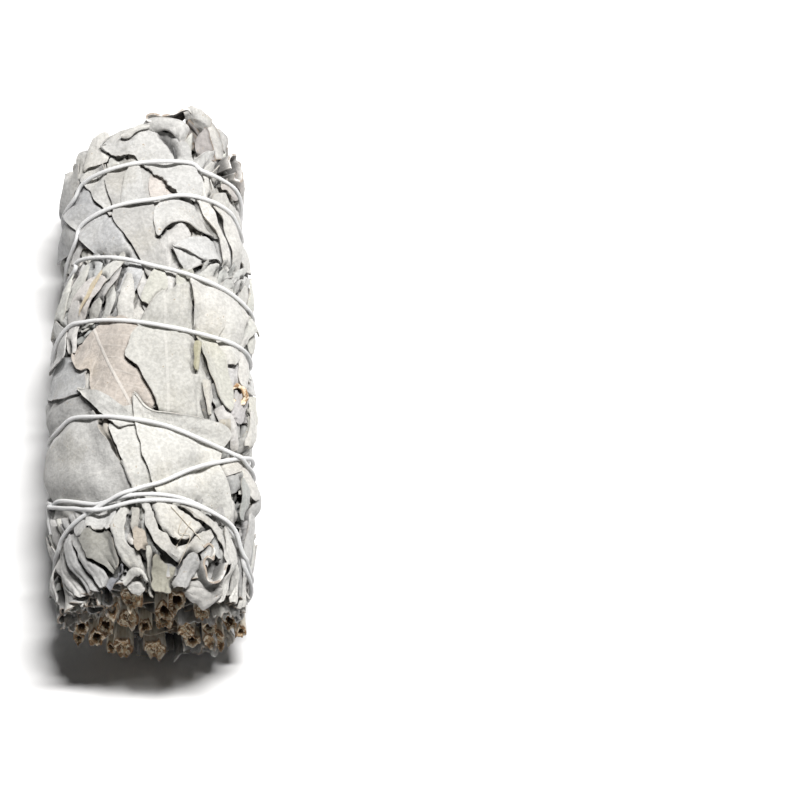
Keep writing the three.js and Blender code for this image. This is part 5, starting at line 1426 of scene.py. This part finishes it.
# %% The surface of a stem
def closed_tube(rings):
    """Closed surface through rings of points (rings, sides, 3), with a pole at each end."""
    count, sides = rings.shape[:2]
    at = np.arange(count * sides).reshape(count, sides)
    nxt = np.roll(at, -1, axis=1)
    quads = np.stack([at[:-1], nxt[:-1], nxt[1:], at[1:]], -1).reshape(-1, 4)
    first, last = count * sides, count * sides + 1
    tris = np.concatenate([
        np.stack([nxt[0], at[0], np.full(sides, first)], -1),
        np.stack([at[-1], nxt[-1], np.full(sides, last)], -1)])
    points = np.concatenate([rings.reshape(-1, 3), rings[0].mean(0)[None], rings[-1].mean(0)[None]])
    every = np.concatenate([tris, quads[:, [0, 1, 2]], quads[:, [0, 2, 3]]])
    a, b, c = (points[every[:, k]] - points.mean(0) for k in range(3))
    if (a * np.cross(b, c)).sum() < 0:
        quads = quads[:, ::-1]
        tris = tris[:, ::-1]
    return points, quads, tris


def section(middle, side, up, r, ang):
    """Points round a middle: middle + side x r cos a + up x r sin a."""
    return middle + side * (r * np.cos(ang))[..., None] + up * (r * np.sin(ang))[..., None]


def stem_rings(origin, axis, radius, length, seed, filled):
    """The profile carried round the axis. The radius varies by slow cosines, fine ridges and a little
    chance, and the cut slopes and is ragged by the same kinds of waves."""
    profile = [(0.78, length, 0), (0.94, length * 0.7, 0), (0.98, length * 0.4, 0)] + RIM
    profile = profile + (FILLED if filled else HOLLOW)
    rng = np.random.default_rng(seed)
    radius = radius * rng.uniform(0.86, 1.12)
    axis = unit(axis + rng.normal(0, 0.05, 3) * (1, 0, 1))
    ang = np.linspace(0, 2 * math.pi, STEM_SIDES, endpoint=False)
    side = unit(np.cross(axis, [0.0, 0, 1]))
    up = np.cross(side, axis)
    square = 1 + 0.05 * np.cos(4 * ang + rng.uniform(0, 6)) + 0.05 * np.cos(ang + rng.uniform(0, 6))
    ridges = 0.025 * np.sin(9 * ang + rng.uniform(0, 6)) + 0.02 * np.sin(5 * ang + rng.uniform(0, 6))
    ragged = 0.3 * np.sin(2 * ang + rng.uniform(0, 6)) + 0.2 * np.sin(5 * ang + rng.uniform(0, 6))
    ragged = (ragged + rng.normal(0, 0.2, STEM_SIDES)) * rng.uniform(0.7, 1.8)
    out_of_round = rng.uniform(0, 0.16) * np.cos(2 * ang + rng.uniform(0, 6))
    rings = []
    for share, back, kind in profile:
        outer = kind < 0.6
        rough = 1.3 if outer else 0.3
        near = max(0.0, 1 - back / 1.6) * (1.0 if outer else 0.45)
        slope = SLOPE_OF_CUT * max(0.0, 1 - back / 5.0)
        grit = 0.06 if outer else 0.24 if filled else 0.05
        r = radius * share * (square + out_of_round + rough * ridges + rng.normal(0, 0.015, STEM_SIDES))
        d = back + ragged * near + rng.normal(0, grit, STEM_SIDES) * near + slope * r * np.sin(ang)
        rings.append(section(origin + axis * d[:, None], side, up, r, ang))
    # Bark rings behind the cut carry how far they lie in the bunch as a value below 0, for painted shade
    kinds = [kind or -min(1.0, max(0.0, back - 1.0) / 5.0) for share, back, kind in profile]
    return np.array(rings), np.concatenate([np.repeat(kinds, STEM_SIDES), [0.0, 1.0]])


sample = stem_rings(np.zeros(3), np.array([0.0, 1.0, 0.0]), 2.0, STEM_RUN, 1, 1)[0]
print("rings and sides of a stem:", sample.shape[:2])

# %% The stem finish
def stem_finish():
    """Bark, brown rim, paler wood and dark pith, by the value that each ring carries. Below 0 that
    value is how far the bark has gone into the bunch, and it darkens the bark to 0.28 as painted shade."""
    f = Finish("sage_stem")
    here = f.here()
    kind = f.attribute("kind", "Fac")
    stretch = f.add("ShaderNodeMapping", Vector=here, Scale=(1.0, 0.12, 1.0)).outputs[0]
    grain = f.noise(stretch, 2600.0, 4.0, 0.65)
    blotch = f.noise(here, 520.0, 3.0)
    bark = f.mix(f.ramp(grain, 0.3, 0.7), (0.80, 0.77, 0.69, 1), (0.58, 0.53, 0.44, 1))
    bark = f.mix(f.ramp(blotch, 0.5, 0.66, 0.0, 0.4), bark, (0.40, 0.30, 0.20, 1))
    chips = f.noise(here, 900.0, 3.0)
    crumbs = f.noise(here, 1700.0, 2.0)
    rim = f.mix(f.ramp(chips, 0.44, 0.56), (0.34, 0.20, 0.10, 1), (0.86, 0.78, 0.64, 1))
    wood = f.mix(f.ramp(chips, 0.40, 0.56), (0.20, 0.12, 0.065, 1), (0.62, 0.43, 0.25, 1))
    wood = f.mix(f.ramp(crumbs, 0.50, 0.60), wood, (0.88, 0.79, 0.62, 1))
    cut_edge = f.mix(f.ramp(chips, 0.40, 0.52), (0.18, 0.11, 0.065, 1), (0.42, 0.30, 0.19, 1))
    # Painted shade: bark deeper in the bunch is darkened, down to 0.28 of its colour
    bark = f.mix(1.0, bark, f.ramp(kind, -1.0, 0.0, 0.28, 1.0), "MULTIPLY")
    colour = f.mix(f.ramp(kind, 0.05, 0.28), bark, cut_edge)
    colour = f.mix(f.ramp(kind, 0.38, 0.50), colour, rim)
    colour = f.mix(f.ramp(kind, 0.57, 0.66), colour, wood)
    colour = f.mix(f.ramp(kind, 0.70, 0.95), colour, (0.060, 0.038, 0.025, 1))
    return f.shade(colour, Normal=f.bump(grain, 0.00012, 0.8), Roughness=0.82, Specular_IOR_Level=0.25)


stem_material = stem_finish()
print("nodes in the stem finish:", len(stem_material.node_tree.nodes))

# %% Make the stems
def stem_object(name, origin, axis, radius, length, seed, filled=0):
    """Makes one stem that runs from its cut end along the axis."""
    rings, kinds = stem_rings(np.array(origin, float), axis, radius, length, seed, filled)
    obj = new_object(name, *closed_tube(rings))
    add_value(obj, "kind", kinds)
    settle(obj, stem_material)
    return obj


for k, (x, y, z, radius, filled) in enumerate(STEMS):
    axis = unit(np.array([-x * STEM_LEAN, 1.0, (MIDDLE_Z - z) * STEM_LEAN]))
    obj = stem_object(f"cut_stem_{k + 1:02d}", (x, y - 0.6, z), axis, radius, STEM_RUN, 500 + k, filled)
    if k < CAD_STEMS:
        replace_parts(obj, f"stem_{k + 1:02d}")
stub_from = skin(59.5, -9.3, -0.2)
stub_to = skin(78.0, -6.4, -4.2)
stem_object("side_stub", stub_from, unit(stub_to - stub_from), 2.1, 7.0, 540)
print("stems:", len(STEMS), "and one stub on the right side")

# %% [markdown]
# ## What fills the ends
#
# Between the stems the cut shows leaf after leaf, folded and rolled. Each is a short ribbon: an open
# curl in the cross-section, carried along the stick. The same ribbons, cut to points, stand as leaf
# tips at the far end.

# %% Rolled leaves at both ends
BUNCHES = [     # x and z, one for each solid bunch
    (-4.2, 25.4), (4.6, 25.6), (-11.2, 20.8), (-3.6, 19.6), (4.2, 18.6), (10.2, 19), (-12, 13), (-4.6, 14),
    (3.8, 12.4), (10.6, 11.8), (-6.4, 8), (4.4, 7.4),
]
ROLLS_IN_BUNCH = 8
ENDS = (-46.0, -37.0), (46.5, 34.0)     # the cut and the tip: where rolls end, and where they start
FULLEST = 0.89          # rolls stay within this share of the barrel
SPANS = (1.5, 3.8), (0, 6.3), (2, 5), (0, 0.5)      # of a roll's radius, start, sweep and curl


def roll_part(x, z, radius, start, sweep, curl, y_root, y_end, point, seed, tint):
    """Path in the cross-section: an arc that tightens, with waves. Rows carry it along the stick, and
    what would lie outside the barrel is drawn in towards its middle."""
    s = towards_end(8)
    t = np.linspace(0, 1, 17)[None, :]
    turn = start + sweep * t
    reach = radius * (1 - curl * t) + 0.28 * waves(seed, 9 * t, 3 * s, 3.0)
    reach = reach * (0.92 + 0.16 * s**2)
    px = x + reach * np.cos(turn) + 0.3 * ripples(seed + 1, 6 * s, 6.0)
    pz = z + reach * np.sin(turn)
    ragged = 0.45 * ripples(seed + 2, 8 * t, 3.0)
    end = y_end + np.sign(y_end) * (ragged - point * (2 * t - 1) ** 2)
    y = y_root + (end - y_root) * s
    w = half_width(y)
    centre = FLATTEN * w - SUNK
    rho = np.hypot(px / w, (pz - centre) / (FLATTEN * w))
    squeeze = np.minimum(1.0, FULLEST / np.maximum(rho, 1e-6))
    y = shortened(np.degrees(np.arctan2(px, pz - centre)), y)
    points = np.stack([px * squeeze, y, np.maximum(centre + (pz - centre) * squeeze, 0.6)], -1)
    to_end = np.abs(end - y_root) * (1 - s)
    # Painted shade and highlight: the roll darkens away from its end, whose rim is painted palest
    return leaf_part(points, 0.34, (t - 0.5) * radius * abs(sweep), to_end, to_end + 0.08, tint,
                     painted_rim_light_and_shade(to_end, 1.3))


draw = np.random.default_rng(19)
for k, (bunch_x, bunch_z) in enumerate(BUNCHES):
    parts = []
    for j in range(ROLLS_IN_BUNCH):
        for end, root in ENDS:
            at_cut = end < 0
            x = bunch_x + draw.normal(0, 2.3)
            z = bunch_z + draw.normal(0, 2.2)
            point = draw.uniform(0, 0.5) if at_cut else draw.uniform(1.0, 4.5)
            tint = (PALE, COOL, GREY, COOL_PALE, TAN)[int(draw.integers(5 if at_cut else 4))]
            # Painted shade: rolls at the cut, which lies in shade, are darkened to 0.48 of their tint,
            # those at the tip to 0.85
            tint = np.array(tint) * (0.48 if at_cut else 0.85)
            end = end + draw.uniform(-1.6, 1.2) - (0.08 * (27 - z) if at_cut else 0)
            shape = [draw.uniform(*span) for span in SPANS]
            parts.append(roll_part(x, z, *shape, root, end, point, 700 + 40 * k + j, tint))
    obj = finish_leaves(f"rolled_leaves_{k + 1:02d}", parts, inner_finish)
    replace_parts(obj, f"inner_leaves_{k + 1:02d}")
print("rolled leaves:", 2 * ROLLS_IN_BUNCH * len(BUNCHES))

# %% Rolls round the cut
def rolled_leaf(start, end, radius, turns, sink, seed, tint):
    """A leaf rolled up along its length. A spiral, whose radius shrinks by four tenths from its outer
    to its inner end, is carried along a line on the skin and widens towards the cut."""
    rng = np.random.default_rng(seed)
    t = np.linspace(0, 1, 24)[None, :]
    s = towards_end(10)
    turn = rng.uniform(0, 2 * math.pi) + 2 * math.pi * turns * t
    r = radius * (1 - 0.4 * t) * (0.8 + 0.25 * s) * (1 + 0.1 * waves(seed, 9 * t, 8 * s, 4.0))
    angle = start[0] + (end[0] - start[0]) * s + rng.uniform(-3, 3) * np.sin(math.pi * s)
    y = start[1] + (end[1] - start[1]) * s - 0.3 * ripples(seed + 2, 8 * t, 3.0) * s**4
    points = section(skin(angle, y, -sink), outwards(angle), outwards(angle + 90), r, turn)
    points[..., 2] = np.maximum(points[..., 2], 0.5)
    to_end = abs(end[1] - start[1]) * (1 - s)
    # Painted shade and highlight: inner turns darken deeper in the roll, their rim is painted palest, the
    # outer turn keeps its tint
    outside = np.clip(1 - 2.5 * t, 0, 1)
    shade = painted_rim_light_and_shade(to_end, 1.2) * (1 - outside) + outside
    return leaf_part(points, 0.32, (t - 0.5) * radius * 5, to_end, to_end + 0.1, tint, shade)


RIM_ROLLS = 44
INNER_RIM_ROLLS = 30
draw = np.random.default_rng(23)
parts = []
for k in range(RIM_ROLLS + INNER_RIM_ROLLS):
    outer = k < RIM_ROLLS
    count = RIM_ROLLS if outer else INNER_RIM_ROLLS
    angle = 360 * (k % count + draw.uniform(-0.3, 0.3)) / count
    over = max(0.0, math.cos(math.radians(angle)))
    sink = draw.uniform(2.6, 3.6) + 1.4 * over if outer else draw.uniform(5.6, 8.4)
    end = draw.uniform(-49.6, -48.0) + 2.2 * over**3 if outer else draw.uniform(-49.0, -46.6)
    left = math.exp(-(((angle - 295) / 30) ** 2))
    end = end - 1.1 * left
    # Painted shade and light: inner rolls darkened to 0.48, outer ones to 0.78, and those on the left
    # painted up to 0.15 lighter
    tint = np.array((PALE, COOL, COOL_PALE, GREY)[k % 4]) * ((0.78 if outer else 0.48) + 0.15 * left)
    parts.append(rolled_leaf((angle - draw.uniform(0, 8), -38.0), (angle, end), draw.uniform(1.3, 2.2),
                             draw.uniform(0.8, 1.5), sink, 1500 + 11 * k, tint))
finish_leaves("rim_rolls", parts, inner_finish)
print("rolled leaves round the cut:", len(parts))

# %% Torn leaf ends at the cut
EDGES_AT_CUT = [     # end in y, how far they run in, tint, and their line in x and z
    (-50.6, 7.0, COOL, [(4.6, 17.2), (6.2, 15.6), (8.6, 14.6), (10.4, 15.2), (12, 17.6), (13.4, 20)]),
    (-52.2, 7.0, COOL_PALE, [(3.2, 1.2), (4.3, 2.8), (6.1, 1.6), (7.6, 4.1), (9.2, 6.4), (10.0, 5.0),
                             (11.2, 8.4), (10.8, 11.2)]),
    (-52.0, 6.0, COOL_PALE, [(4.8, 7.0), (5.6, 4.2), (7.4, 2.4), (9.6, 2.2), (10.8, 4.0), (12.6, 3.2)]),
    (-51.2, 6.0, COOL, [(-4.2, 1.2), (-2.4, 2.4), (-0.6, 1.6), (1.6, 2.8), (3.0, 1.6)]),
    (-49.0, 6.0, GREY, [(-10.6, 24.2), (-9, 26.2), (-7.4, 24.6), (-6.6, 27), (-4.8, 25.4)]),
    (-49.4, 6.0, COOL, [(-16.6, 19.2), (-14.6, 21.6), (-13.4, 19.2), (-11.4, 21.2), (-10.6, 18.6)]),
    (-50.4, 5.0, COOL_PALE, [(-17.4, 15.4), (-16.2, 17.6), (-14.4, 17.2), (-14.6, 15.4), (-16.0, 15.2)]),
    (-50.2, 5.0, PALE, [(-13.8, 17.6), (-12.2, 19.4), (-10.6, 18.2), (-11.4, 16.6), (-12.8, 17.0)]),
    (-50.0, 5.0, COOL_PALE, [(-15.6, 22.4), (-13.8, 24.2), (-12.2, 22.8), (-13.2, 21.4), (-14.4, 22.2)]),
    (-50.0, 5.0, PALE, [(-12.2, 25.6), (-10.4, 27.2), (-8.8, 25.8), (-9.8, 24.4), (-11.0, 25.0)]),
    (-50.4, 5.0, PALE, [(-9.4, 21.4), (-7.8, 23.2), (-6.2, 21.8), (-7.2, 20.2), (-8.6, 20.8)]),
    (-50.6, 5.0, COOL_PALE, [(14.6, 17.4), (16.0, 18.6), (16.8, 16.8), (15.8, 15.8), (14.8, 16.8)]),
    (-51.0, 5.0, PALE, [(12.4, 5.6), (13.8, 6.8), (14.6, 5.2), (13.4, 4.4)]),
    (-50.8, 5.0, PALE, [(11.8, 19.2), (13.4, 21.0), (15.0, 19.8), (14.2, 18.2), (12.8, 18.8)]),
]


def edge_at_cut(end, run, line, seed, tint):
    """A leaf seen by its torn end: a line in x and z, carried into the stick, with a ragged end."""
    s = 1 - towards_end(9)[::-1]
    t = np.linspace(0, 1, 40)[None, :]
    place = smooth_path(line, 40, 1.0)
    ragged = 0.5 * ripples(seed, 12 * t, 3.0) + 0.2 * ripples(seed + 1, 12 * t, 1.1)
    narrow = 1 - 0.08 * s
    depth = run * s
    x = place[:, 0] * narrow + 0.25 * waves(seed + 2, 10 * t, 5 * s, 4.0)
    z = MIDDLE_Z + (place[:, 1] - MIDDLE_Z) * narrow + 0.25 * waves(seed + 3, 10 * t, 5 * s, 4.0)
    points = np.stack([x, end + depth + ragged * (1 - s) ** 3, z], -1)
    # Painted shade and highlight: the leaf darkens as it runs into the stick, and its torn end is painted
    # palest
    return leaf_part(points, 0.3, (t - 0.5) * 12, depth, depth + 0.1, tint, painted_rim_light_and_shade(depth, 1.8))


parts = [edge_at_cut(end, run, line, 1900 + 9 * k, tint)
         for k, (end, run, tint, line) in enumerate(EDGES_AT_CUT)]
finish_leaves("torn_leaves_at_cut", parts, inner_finish)
print("torn leaf ends at the cut:", len(parts))

# %% What fills the middle
def packed_rings(first, last, count=64, sides=200):
    """Barrel of folded leaves, seen only through gaps: depth waves round it and slowly along it."""
    y = np.linspace(first, last, count)[:, None]
    ang = np.linspace(0, 360, sides, endpoint=False)[None, :]
    fold = 0.5 * np.abs(np.sin(np.radians(ang * 13) + 0.16 * y))
    fold = fold + 0.3 * np.sin(np.radians(ang * 29) - 0.1 * y)
    return skin(ang, y, -4.6 - fold)


points, quads, tris = closed_tube(packed_rings(-42.5, 39.0))
packed = new_object("packed_leaves", points, quads, tris)
add_uv(packed, points[:, :2] / UV_MM)
# Real filler leaves whose dark tint is painted shade: they are seen only deep in the gaps
add_value(packed, "tint", np.tile([0.30, 0.29, 0.26, 0.0], (len(points), 1)))
add_value(packed, "edge", np.full(len(points), 9.0))
settle(packed, inner_finish)
print("packed leaves fill the middle")

# %% [markdown]
# ## The string
#
# The string is cotton, three strands twisted together. Taut string doesn't follow every hollow: it
# runs over the high places. So its height is the leaves' surface, with each hollow bridged and then
# smoothed, and where a turn crosses one laid before it, it climbs over it in a low hump.

# %% How high the string lies
STRING_SIDES = 12
TWIST_MM = 2.7
STRANDS = 3
STRAND_DEPTH = 0.13     # of the hollows between the strands, as a share of the radius


def along_string(values, reach):
    """For each place the values within a number of steps along the string, one row for each step."""
    pad = np.pad(values, reach, mode="edge")
    return [pad[k:k + len(values)] for k in range(2 * reach + 1)]


def along_max(values, reach):
    """Highest of those values."""
    return np.max(along_string(values, reach), axis=0)


def along_mean(values, reach, passes=3):
    """Mean of those values, taken a few times."""
    for _ in range(passes):
        values = np.mean(along_string(values, reach), axis=0)
    return values


under = np.max([read(surface, route[:, 0] + da, route[:, 1] + dy)
                for da in (-1.2, 0, 1.2) for dy in (-0.4, 0, 0.4)], axis=0)
height = along_mean(along_max(under, 8), 9) + STRING_R * 0.5
x = signed(route[:, 0]) * MM_PER_DEG
for _ in range(2):
    for k in range(len(route)):
        earlier = max(0, k - 150)
        apart = np.hypot(x[:earlier] - x[k], route[:earlier, 1] - route[k, 1])
        close = apart < 2 * STRING_R
        if close.any():
            rise = height[:earlier][close] + np.sqrt((2 * STRING_R) ** 2 - apart[close] ** 2) * 0.94
            height[k] = max(height[k], rise.max())
    height = np.maximum(height, along_mean(height, 5))
height = along_mean(height, 2, 1)
centre_line = skin(route[:, 0], route[:, 1], height)
centre_line[:, 2] = np.maximum(centre_line[:, 2], 1.1 * STRING_R)
print("string lies", np.round([height.min(), height.max()], 2), "mm off the skin")

# %% The surface of the string
def cord_rings(line, radius):
    """Section of three lobes turned along the line: two directions square to it, and a radius."""
    ahead = unit(np.gradient(line, axis=0))
    up = line - np.array([0.0, 0.0, MIDDLE_Z]) - line * (0, 1, 0)
    up = unit(up - ahead * (up * ahead).sum(1, keepdims=True))
    side = np.cross(ahead, up)
    run = distances(line)
    ang = np.linspace(0, 2 * math.pi, STRING_SIDES, endpoint=False)[None, :]
    turn = 2 * math.pi * run[:, None] / TWIST_MM
    strand = np.abs(np.cos(STRANDS / 2 * (ang - turn)))
    r = radius * (1 - STRAND_DEPTH * (1 - strand)) * (1 + 0.05 * waves(5, run[:, None], ang, 6.0))
    return section(line[:, None], side[:, None], up[:, None], r, ang), run, ang - turn


def string_finish():
    """Matt white cotton: fine fibres run round with the twist, some greyer than others, and it is soiled in
    patches.
    """
    f = Finish("cotton_string")
    here = f.here()
    stretch = f.add("ShaderNodeMapping", Vector=f.along(), Scale=(40.0, 6.0, 1.0)).outputs[0]
    fibre = f.noise(stretch, 9.0, 3.0)
    soil = f.noise(here, 140.0, 2.0)
    colour = f.mix(f.ramp(fibre, 0.35, 0.65), (0.86, 0.86, 0.86, 1), (0.76, 0.765, 0.77, 1))
    colour = f.mix(f.ramp(soil, 0.5, 0.75, 0.0, 0.35), colour, (0.80, 0.79, 0.76, 1))
    fuzz = f.bump(f.noise(here, 5200.0), 0.0001, 0.5)
    return f.shade(colour, Normal=f.bump(fibre, 0.00012, 0.7, fuzz), Roughness=0.88, Sheen_Weight=0.3,
                   Sheen_Roughness=0.45)


string_material = string_finish()
print("nodes in the string finish:", len(string_material.node_tree.nodes))

# %% Wind the string
def string_object(name, line, radius=STRING_R):
    """Makes one piece of string along a line. Its map runs round with the twist, and along in cm."""
    rings, run, around = cord_rings(line, radius)
    obj = new_object(name, *closed_tube(rings))
    v = run / 10
    uv = np.stack(np.broadcast_arrays(around / (2 * math.pi), v[:, None]), -1).reshape(-1, 2)
    add_uv(obj, np.concatenate([uv, [[0, v[0]], [0, v[-1]]]]))
    settle(obj, string_material)
    return obj


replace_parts(string_object("wound_string", centre_line), "string")
print("string is", round(float(path_length(centre_line))), "mm long")

# %% [markdown]
# ## Dry fibres
#
# A few thin dry shreds of stalk lie over the folds, and two hang in the cut.

# %% Thin fibres
FIBRE_R = 0.075
FIBRE_SIDES = 5
FIBRES_ON_SKIN = [
    [(20.9, -36.5), (18.3, -40), (23.7, -41.1), (20.1, -45.6)], [(14.1, -35.3), (20.9, -38), (29.4, -41.4)],
    [(24.7, -37.9), (17.3, -42.8)],
]
FIBRES_IN_CUT = [[(-2.6, 14.5), (-0.5, 12.7), (3.9, 15.6)], [(-4.2, 1.7), (-2, 0.9), (-0.4, 1.4)]]
FIBRE_Y = -51.8
fibre_lines = []
for line in FIBRES_ON_SKIN:
    places = smooth_path(line, 36)
    high = along_max(read(surface, places[:, 0], places[:, 1]), 2)
    fibre_lines.append(skin(places[:, 0], places[:, 1], high + 2.2 * FIBRE_R))
for line in FIBRES_IN_CUT:
    fibre_lines.append(np.insert(smooth_path(line, 30, 1.0), 1, FIBRE_Y, axis=1))


def fibre_rings(line):
    """A round section carried along a line, square to it."""
    ahead = np.gradient(line, axis=0)
    side = unit(np.cross(ahead, (0.3, -0.5, 0.8)))
    up = unit(np.cross(side, ahead))
    ang = np.linspace(0, 2 * math.pi, FIBRE_SIDES, endpoint=False)
    return section(line[:, None], side[:, None], up[:, None], FIBRE_R, ang)


for k, line in enumerate(fibre_lines):
    points, quads, tris = closed_tube(fibre_rings(line))
    fibre = new_object(f"dry_fibre_{k + 1}", points, quads, tris)
    add_value(fibre, "kind", np.full(len(points), 0.12))
    settle(fibre, stem_material)
print("dry fibres:", len(fibre_lines))

# %% [markdown]
# ## The knot
#
# Both ends meet on the left side in a small overhand knot. Its line is a trefoil, and two short
# tails leave it.

# %% Knot and tails
KNOT_SIZE = 0.42
t = np.linspace(0, 2 * math.pi, 90, endpoint=False)
trefoil = np.stack([np.sin(3 * t), np.cos(t) - 2 * np.cos(2 * t), np.sin(t) + 2 * np.sin(2 * t)], -1)
knot_at = skin(-84.0, -28.6, height[0] + 0.35)
string_object("string_knot", knot_at + trefoil * KNOT_SIZE, STRING_R * 0.8)
TAILS = [       # angle, y, and height over the start of the string
    [(-84, -28.6, 0.5), (-85.5, -30.6, 0.9), (-88, -33, 0.6), (-91, -35.4, 0.2)],
    [(-84, -28.6, 0.5), (-87, -27, 1.0), (-91, -25.4, 0.6), (-95, -24.2, 0.1)],
]
for k, tail in enumerate(TAILS):
    places = smooth_path(tail, 26, (MM_PER_DEG, 1.0, 1.0))
    line = skin(places[:, 0], places[:, 1], height[0] - STRING_R * 0.4 + places[:, 2])
    string_object(f"string_tail_{k + 1}", line, STRING_R * 0.92)
print("knot and tails are on the left side")

# %% [markdown]
# ## Floor, light and air
#
# The stick lies on plain white. One oblong lamp, high behind it and to the right, lights the leaves,
# so the cut end and the left side are in shade, and the floor near them too. A weak pale sky fills
# the shade.

# %% Floor and lights
FLOOR = 3.0             # metres to each side
floor_mesh = bpy.data.meshes.new("floor")
floor_mesh.from_pydata([(-FLOOR, -FLOOR, 0), (FLOOR, -FLOOR, 0), (FLOOR, FLOOR, 0), (-FLOOR, FLOOR, 0)], [],
                       [(0, 1, 2, 3)])
floor = bpy.data.objects.new("floor", floor_mesh)
bpy.context.scene.collection.objects.link(floor)
floor_mesh.materials.append(
    Finish("white_floor").shade((0.93, 0.93, 0.935, 1), Roughness=0.9, Specular_IOR_Level=0.1))
floor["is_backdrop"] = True

world = bpy.data.worlds.new("studio")
world.use_nodes = True
sky = world.node_tree.nodes["Background"]
sky.inputs["Color"].default_value = (0.95, 0.97, 1.0, 1)
sky.inputs["Strength"].default_value = 0.030
bpy.context.scene.world = world

key = bpy.data.lights.new("key", "AREA")
key.shape = "RECTANGLE"
key.size = 0.30
key.size_y = 0.05
key.energy = 8.65
key.color = (1.0, 0.99, 0.975)
lamp = bpy.data.objects.new("key", key)
lamp.location = (0.162, 0.138, 0.70)
bpy.context.scene.collection.objects.link(lamp)
bpy.context.scene.view_settings.view_transform = "Standard"
bpy.context.scene.view_settings.look = "None"
bpy.context.scene.view_settings.exposure = 0.0
print("floor, one lamp and a pale sky")

# %% [markdown]
# ## Sizes
#
# The dressed stick may be no bigger than the solids, apart from a little that leaves stand proud.
# Both boxes are kept, so that they can be compared.

# %% Compare the sizes
dressed = [list(corner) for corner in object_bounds()]
for axis, name in enumerate("xyz"):
    grown = [(dressed[0][axis] - CAD_BOX[0][axis]) / MM, (dressed[1][axis] - CAD_BOX[1][axis]) / MM]
    print(name, "low and high side moved by", [round(g, 2) for g in grown], "mm")
